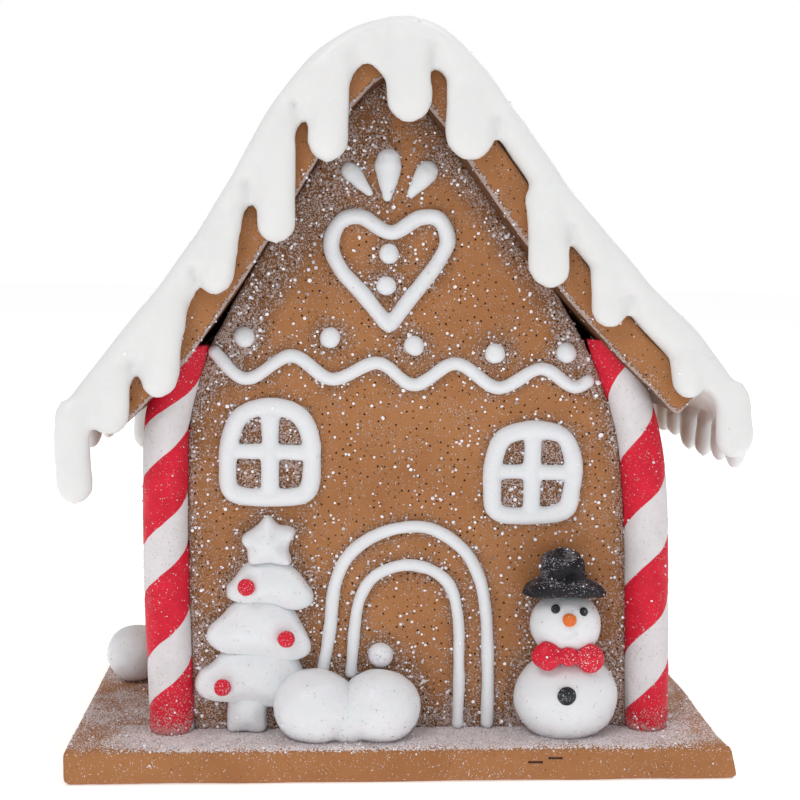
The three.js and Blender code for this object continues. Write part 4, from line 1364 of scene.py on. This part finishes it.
class GINGERBREAD_OT_canes(HouseOperator, bpy.types.Operator):
    """Make the two candy cane columns"""
    bl_idname = "gingerbread.canes"
    bl_label = "Candy canes"

    def execute(self, context):
        colours, sizes = self.settings(context)
        for name, cane in CANES.items():
            bm = self.rod(cane)
            painted(bm, "frost", plain_frost(0.04, 0.6, 0.12))
            material = cane_finish(f"striped_{name}", colours, cane["red"])
            finished(bm, f"striped_{name}", material, [name])
        return {"FINISHED"}

    def rod(self, cane):
        line = spline(cane["line"], 10)
        steps = 120
        line = at_distance(line, np.linspace(0, travelled(line)[-1], steps + 1))
        around = 48
        bm = wrapped(around, steps, lambda turn, step: self.place(cane, line, turn, step))
        close_ends(bm)
        self.trim(bm, cane["top"])
        knead(bm, ((0.16, 9), (0.05, 2.5)), 61)
        wrap = bm.verts.layers.float_vector.new("wrap")
        for vert in bm.verts:
            x, y, z = vert.co / MM
            centre = np.interp(z, line[:, 1], line[:, 0])
            away = Vector((x - centre, y - CANE_Y)).normalized()
            vert[wrap] = (away.x, away.y, (z - BOARD_TOP) / cane["pitch"] + cane["start"])
        return bm

    def place(self, cane, line, turn, step):
        angle = 2 * math.pi * turn
        x, z = line[step]
        phase = (z / cane["pitch"] + cane["start"] - BOARD_TOP / cane["pitch"] - turn) % 1
        groove = min(abs(phase), abs(phase - 1), abs(phase - cane["red"]))
        radius = CANE_RADIUS - 0.18 * math.exp(-(groove / 0.025) ** 2)
        return x + radius * math.cos(angle), CANE_Y + radius * math.sin(angle), z

    def trim(self, bm, top):
        """Cuts the top off along the slope of the roof, and level at its end."""
        left = bm.verts[:][0].co.x < 0
        a, b = ROOF_UNDERSIDE[1:3] if left else ROOF_UNDERSIDE[-2:]
        slope = Vector((b[0] - a[0], 0, b[1] - a[1])).normalized()
        up = Vector((-slope.z, 0, slope.x))
        point = (Vector((a[0], 0, a[1])) + up * 1.0) * MM
        for place, away in ((point, up), (Vector((0, 0, top * MM)), Vector((0, 0, 1)))):
            cut = bmesh.ops.bisect_plane(bm, geom=bm.verts[:] + bm.edges[:] + bm.faces[:], plane_co=place,
                                         plane_no=away, clear_outer=True)
            edges = [item for item in cut["geom_cut"] if isinstance(item, bmesh.types.BMEdge)]
            if edges:
                bmesh.ops.edgeloop_fill(bm, edges=edges)


class GINGERBREAD_OT_piping(HouseOperator, bpy.types.Operator):
    """Make the zigzag, the heart and the door arches"""
    bl_idname = "gingerbread.piping"
    bl_label = "Piped lines"

    def execute(self, context):
        colours, sizes = self.settings(context)
        material = shared_material("icing_piping", lambda: icing_finish(colours.snow, "icing_piping"))
        for number, (node, points, half_width, height, loop) in enumerate((
            ("zigzag", ZIGZAG, 1.55, 1.8, False),
            ("heart", HEART, 1.8, 2.2, True),
            ("arch_outer", ARCH_OUTER, 1.5, 1.8, False),
            ("arch_inner", ARCH_INNER, 1.4, 1.7, False),
        )):
            bm = one_skin(piped(points, half_width, height, loop, number), sizes.piping_spacing, 3)
            knead(bm, ((0.10, 4), (0.04, 1.3)), sizes.seed + number)
            painted(bm, "frost", plain_frost(0.12, 0.2, 0.2))
            finished(bm, f"piped_{node}", material, [node])
        return {"FINISHED"}


class GINGERBREAD_OT_windows(HouseOperator, bpy.types.Operator):
    """Make the two piped windows"""
    bl_idname = "gingerbread.windows"
    bl_label = "Windows"

    def execute(self, context):
        colours, sizes = self.settings(context)
        material = shared_material("icing_piping", lambda: icing_finish(colours.snow, "icing_piping"))
        for side, window in WINDOWS.items():
            parts = [piped(window["frame"], 2.15, 2.2, True, 5), piped(window["upright"], 2.1, 2.1)]
            parts += [piped(bar, 1.8, 1.8) for bar in window["bars"]]
            bm = one_skin(heaped(parts), sizes.piping_spacing, 5)
            knead(bm, ((0.10, 4), (0.04, 1.3)), sizes.seed + 7)
            painted(bm, "frost", plain_frost(0.14, 0, 0.2))
            nodes = [f"window_{side}_{part}" for part in ("frame", "upright", "bar_1", "bar_2")]
            finished(bm, f"piped_window_{side}", material, nodes)
        return {"FINISHED"}


class GINGERBREAD_OT_drops(HouseOperator, bpy.types.Operator):
    """Make the round drops, the teardrops and the door knob"""
    bl_idname = "gingerbread.drops"
    bl_label = "Icing drops"

    def execute(self, context):
        colours, sizes = self.settings(context)
        material = shared_material("icing_piping", lambda: icing_finish(colours.snow, "icing_piping"))
        shapes = {node: drop(*size) for node, size in DROPS.items()}
        shapes.update({node: teardrop(*ends) for node, ends in TEARDROPS.items()})
        for number, (node, rough) in enumerate(shapes.items()):
            bm = one_skin(rough, sizes.piping_spacing, 3)
            knead(bm, ((0.22, 3),), sizes.seed + number)
            painted(bm, "frost", plain_frost(0.7 if node == "door_knob" else 0.1, 0, 0.15))
            finished(bm, f"icing_{node}", material, [node])
        return {"FINISHED"}


class GINGERBREAD_OT_snowballs(HouseOperator, bpy.types.Operator):
    """Make the three snowballs"""
    bl_idname = "gingerbread.snowballs"
    bl_label = "Snowballs"

    def execute(self, context):
        colours, sizes = self.settings(context)
        material = shared_material("snow_clay", lambda: icing_finish(colours.snow, "snow_clay"))
        for number, (node, (centre, radii)) in enumerate(SNOWBALLS.items()):
            bm = lump(centre, radii, 96, 48)
            if node != "snowball_side":
                bm = one_skin(heaped([bm, lump(*SQUEEZED_OUT, 32, 16)]), 0.5 * MM, 8)
            knead(bm, ((0.35, 7), (0.12, 2.5)), sizes.seed, 0.1)
            if node != "snowball_side":
                self.squeeze(bm, math.copysign(1, centre[0] - SQUEEZE_X))
            press_flat(bm, wall=node != "snowball_side")
            painted(bm, "frost", plain_frost(0.08, 0.45, 0.15))
            finished(bm, f"clay_{node}", material, [node])
        return {"FINISHED"}

    def squeeze(self, bm, side):
        """Flattens a ball against its neighbour, just past the plane between them."""
        for vert in bm.verts:
            beyond = side * (vert.co.x / MM - SQUEEZE_X)
            vert.co.x = (SQUEEZE_X + side * max(beyond, -SQUEEZE_PAST)) * MM


class GINGERBREAD_OT_tree(HouseOperator, bpy.types.Operator):
    """Make the white tree with its star, trunk and red balls"""
    bl_idname = "gingerbread.tree"
    bl_label = "Tree"

    def execute(self, context):
        colours, sizes = self.settings(context)
        snow = shared_material("snow_clay", lambda: icing_finish(colours.snow, "snow_clay"))
        shapes = {}
        for level, tier in enumerate(TREE_TIERS):
            shapes[f"tree_tier_{level + 1}"] = pillow(tier, TREE_DEPTH - 0.25 * level)
        shapes["tree_star"] = pillow(STAR, TREE_DEPTH + 0.5, 0.3, 1.4)
        shapes["tree_trunk"] = pillow(TRUNK, 4.6, 0.3, 1.5)
        for number, (node, rough) in enumerate(shapes.items()):
            bm = one_skin(rough, 0.4 * MM, 9)
            knead(bm, ((0.45, 6), (0.12, 2.2)), sizes.seed + number)
            painted(bm, "frost", plain_frost(0.08, 0.3, 0.15))
            finished(bm, f"clay_{node}", snow, [node])
        red = shared_material("clay_red", lambda: red_finish(colours))
        for i, (x, z) in enumerate(TREE_BALLS):
            bm = lump((x, WALL_FRONT - TREE_DEPTH - 0.1, z), (1.95, 1.6, 1.95), 32, 16)
            knead(bm, ((0.12, 2),), sizes.seed + i)
            painted(bm, "frost", plain_frost(0.08, 0, 0.1))
            finished(bm, f"clay_tree_ball_{i + 1}", red, [f"tree_ball_{i + 1}"])
        return {"FINISHED"}


def red_finish(colours):
    deep = tuple(c * 0.8 for c in colours.red)
    return clay_finish("clay_red", tuple(colours.red), deep, tuple(colours.sugar), 0.4)


class GINGERBREAD_OT_snowman(HouseOperator, bpy.types.Operator):
    """Make the snowman with its hat, bow, nose, eyes and button"""
    bl_idname = "gingerbread.snowman"
    bl_label = "Snowman"

    def execute(self, context):
        colours, sizes = self.settings(context)
        snow = shared_material("snow_clay", lambda: icing_finish(colours.snow, "snow_clay"))
        for part, node in (("body", "snowman_body"), ("head", "snowman_head")):
            bm = lump(*SNOWMAN[part], 160, 80)
            knead(bm, ((0.3, 8), (0.08, 2.5)), sizes.seed + 3)
            if part == "head":
                dent(bm, [(x, -53, z) for x, z in spline(SMILE, 5)], 0.6, 0.6, (0, 1, 0))
            press_flat(bm)
            painted(bm, "frost", plain_frost(0.05, 0.45, 0.15))
            finished(bm, f"clay_{node}", snow, [node])
        self.hat(colours, sizes)
        self.bow(colours, sizes)
        self.face(colours, sizes)
        return {"FINISHED"}

    def hat(self, colours, sizes):
        black = shared_material("clay_black", lambda: clay_finish(
            "clay_black", tuple(colours.black), (0.015, 0.014, 0.018), (0.26, 0.25, 0.28), 0.6))
        brim = lump(*SNOWMAN["brim"], 64, 24)
        x, y, z = SNOWMAN["brim"][0]
        for vert in brim.verts:
            vert.co.z -= 2.0 * (vert.co.x / MM - x) ** 2 / SNOWMAN["brim"][1][0] ** 2 * MM
        bmesh.ops.translate(brim, vec=(0, 0, 0.5 * MM), verts=brim.verts)
        knead(brim, ((0.4, 6), (0.15, 2)), sizes.seed + 5)
        press_flat(brim)
        painted(brim, "frost", lambda vert: 0.08 + 0.35 * noise.noise(vert.co / (4 * MM))
                + 0.25 * max(0, vert.normal.z))
        finished(brim, "felt_hat_brim", black, ["hat_brim"])
        bm = bmesh.new()
        profile = [bm.verts.new((r * MM, 0, h * MM)) for r, h in spline(HAT_CROWN, 5)]
        spun(bm, profile, 40)
        bmesh.ops.translate(bm, vec=Vector((x - 0.3, y, z + HAT_RISE)) * MM, verts=bm.verts)
        bm = one_skin(bm, 0.4 * MM, 3)
        dent(bm, [(x - 0.1, y - 3, z + 8)], 1.6, 1.5, (0, 0.4, -1))
        dent(bm, [(x + 0.4, y - 5, z + 2.4)], 1.8, 0.6, (0, 1, 0))
        knead(bm, ((0.7, 5), (0.25, 2)), sizes.seed + 6)
        painted(bm, "frost", lambda vert: 0.02 + 0.4 * noise.noise(vert.co / (3 * MM))
                - 0.30 * vert.normal.x + 0.25 * max(0, vert.normal.z))
        finished(bm, "felt_hat_crown", black, ["hat_crown"])

    def bow(self, colours, sizes):
        red = shared_material("clay_red", lambda: red_finish(colours))
        parts = [self.lobe(side) for side in ("left", "right")] + [lump(*SNOWMAN["knot"], 32, 16)]
        bm = one_skin(heaped(parts), 0.3 * MM, 2)
        knead(bm, ((0.25, 3), (0.08, 1.2)), sizes.seed + 8)
        painted(bm, "frost", plain_frost(0.1, 0, 0.2))
        finished(bm, "clay_bow", red, ["bow_left", "bow_right", "bow_knot"])

    def lobe(self, side):
        """A bow lobe, pinched towards the knot, with two soft folds."""
        centre, radii = SNOWMAN[f"bow_{side}"]
        bm = lump(centre, radii, 48, 24)
        knot = Vector(SNOWMAN["knot"][0]) * MM
        reach = abs(centre[0] - knot.x / MM) + radii[0]
        for vert in bm.verts:
            share = abs(vert.co.x - knot.x) / MM / reach
            pinch = 0.68 + 0.32 * min(1, share / 0.5)
            vert.co.z = knot.z + (vert.co.z - knot.z) * pinch
            vert.co.y -= 0.35 * MM * math.cos(5.5 * (vert.co.z - knot.z) / (radii[2] * MM)) * (1 - share)
        return bm

    def face(self, colours, sizes):
        orange = clay_finish("clay_orange", tuple(colours.orange), (0.68, 0.15, 0.025),
                             tuple(colours.sugar), 0.4)
        black = shared_material("bead_black", lambda: clay_finish(
            "bead_black", tuple(colours.black), (0.03, 0.03, 0.034), (0.4, 0.4, 0.42), 0.3))
        for part, material, slot, down in (
            ("nose", orange, "orange_clay", 24), ("eye_left", black, "black_clay", 20),
            ("eye_right", black, "black_clay", 20), ("button", black, "black_clay", 24),
        ):
            bm = lump(*SNOWMAN[part], 2 * down, down)
            knead(bm, ((0.10, 1.5),), sizes.seed + down)
            painted(bm, "frost", plain_frost(0.05, 0, 0.1))
            finished(bm, f"bead_{part}", material, [part])


class GINGERBREAD_OT_frosting(HouseOperator, bpy.types.Operator):
    """Scatter sugar grains over the board and the feet of the walls"""
    bl_idname = "gingerbread.frosting"
    bl_label = "Sugar frosting"

    def execute(self, context):
        colours, sizes = self.settings(context)
        material = sugar_finish(colours)
        board = [bpy.data.objects["clay_board"]]
        scatter("sugar_on_board", board, self.on_board, sizes.grain, grain_shape(4, 0.8), 0.8, material,
                sizes.seed + 1, 24000, 0.2, 0.5)
        starts = (*WALL_STARTS, "striped_", "clay_snow", "clay_tree", "felt_", "icing_door")
        pieces = [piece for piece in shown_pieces() if piece.name.startswith(starts)]
        scatter("sugar_on_walls", pieces, self.on_walls, sizes.grain * 0.75, grain_shape(4, 0.8), 0.8,
                material, sizes.seed + 2, 24000, 0.15, 0.75)
        return {"FINISHED"}

    def on_board(self, frost, places, normals):
        top = np.clip(normals[:, 2] * 2 - 1, 0.04, 1)
        return 2.3 * np.clip(frost - 0.22, 0, 1) * top

    def on_walls(self, frost, places, normals):
        return (0.14 + 1.2 * np.clip(frost - 0.1, 0, 1) ** 1.2) * facing_out(places, normals)


def facing_out(places, normals):
    """1 on what shows from outside of the house, 0 on what the roof and the walls hide."""
    return (normals[:, 1] < -0.3) | (np.abs(places[:, 0]) > 51 * MM) | (places[:, 1] > 40 * MM)


class GINGERBREAD_OT_glitter(HouseOperator, bpy.types.Operator):
    """Scatter glitter flakes over every piece"""
    bl_idname = "gingerbread.glitter"
    bl_label = "Glitter flakes"

    def execute(self, context):
        colours, sizes = self.settings(context)
        material = glitter_finish(colours)
        pieces = [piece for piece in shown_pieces() if not piece.name.startswith(("sugar_", "bead_"))]
        dough = [piece for piece in pieces if piece.name.startswith(WALL_STARTS)]
        others = [piece for piece in pieces if piece not in dough]
        scatter("glitter_on_walls", dough, self.on_walls, sizes.flake, grain_shape(6, 0.16), 0.35, material,
                sizes.seed + 3, 15000, unlit=0.3)
        scatter("glitter_on_pieces", others, self.on_pieces, sizes.flake * 0.8, grain_shape(6, 0.16), 0.35,
                material, sizes.seed + 4, 8000, unlit=0.04)
        return {"FINISHED"}

    def on_walls(self, frost, places, normals):
        return (0.10 + 0.75 * np.clip(frost - 0.08, 0, 1)) * facing_out(places, normals)

    def on_pieces(self, frost, places, normals):
        return 0.012 + 0.45 * np.clip(frost - 0.12, 0, 1)


class GINGERBREAD_PT_sidebar(bpy.types.Panel):
    """Buttons and settings of the gingerbread house"""
    bl_label = "Gingerbread house"
    bl_idname = "GINGERBREAD_PT_sidebar"
    bl_space_type = "VIEW_3D"
    bl_region_type = "UI"
    bl_category = "Gingerbread"

    def draw(self, context):
        for operator in OPERATORS:
            self.layout.operator(operator.bl_idname)
        for group in (context.scene.gingerbread_colours, context.scene.gingerbread_sizes):
            box = self.layout.box()
            for name in group.__annotations__:
                box.prop(group, name)


OPERATORS = (
    GINGERBREAD_OT_stage,
    GINGERBREAD_OT_board,
    GINGERBREAD_OT_walls,
    GINGERBREAD_OT_roof,
    GINGERBREAD_OT_icing,
    GINGERBREAD_OT_canes,
    GINGERBREAD_OT_piping,
    GINGERBREAD_OT_windows,
    GINGERBREAD_OT_drops,
    GINGERBREAD_OT_snowballs,
    GINGERBREAD_OT_tree,
    GINGERBREAD_OT_snowman,
    GINGERBREAD_OT_frosting,
    GINGERBREAD_OT_glitter,
)
CLASSES = (HouseColours, HouseSizes, *OPERATORS, GINGERBREAD_PT_sidebar)


def register():
    for item in CLASSES:
        bpy.utils.register_class(item)
    bpy.types.Scene.gingerbread_colours = PointerProperty(type=HouseColours)
    bpy.types.Scene.gingerbread_sizes = PointerProperty(type=HouseSizes)


def unregister():
    del bpy.types.Scene.gingerbread_sizes
    del bpy.types.Scene.gingerbread_colours
    for item in reversed(CLASSES):
        bpy.utils.unregister_class(item)


def main():
    register()
    for operator in OPERATORS:
        group, name = operator.bl_idname.split(".")
        getattr(getattr(bpy.ops, group), name)()


if __name__ == "__main__":
    main()
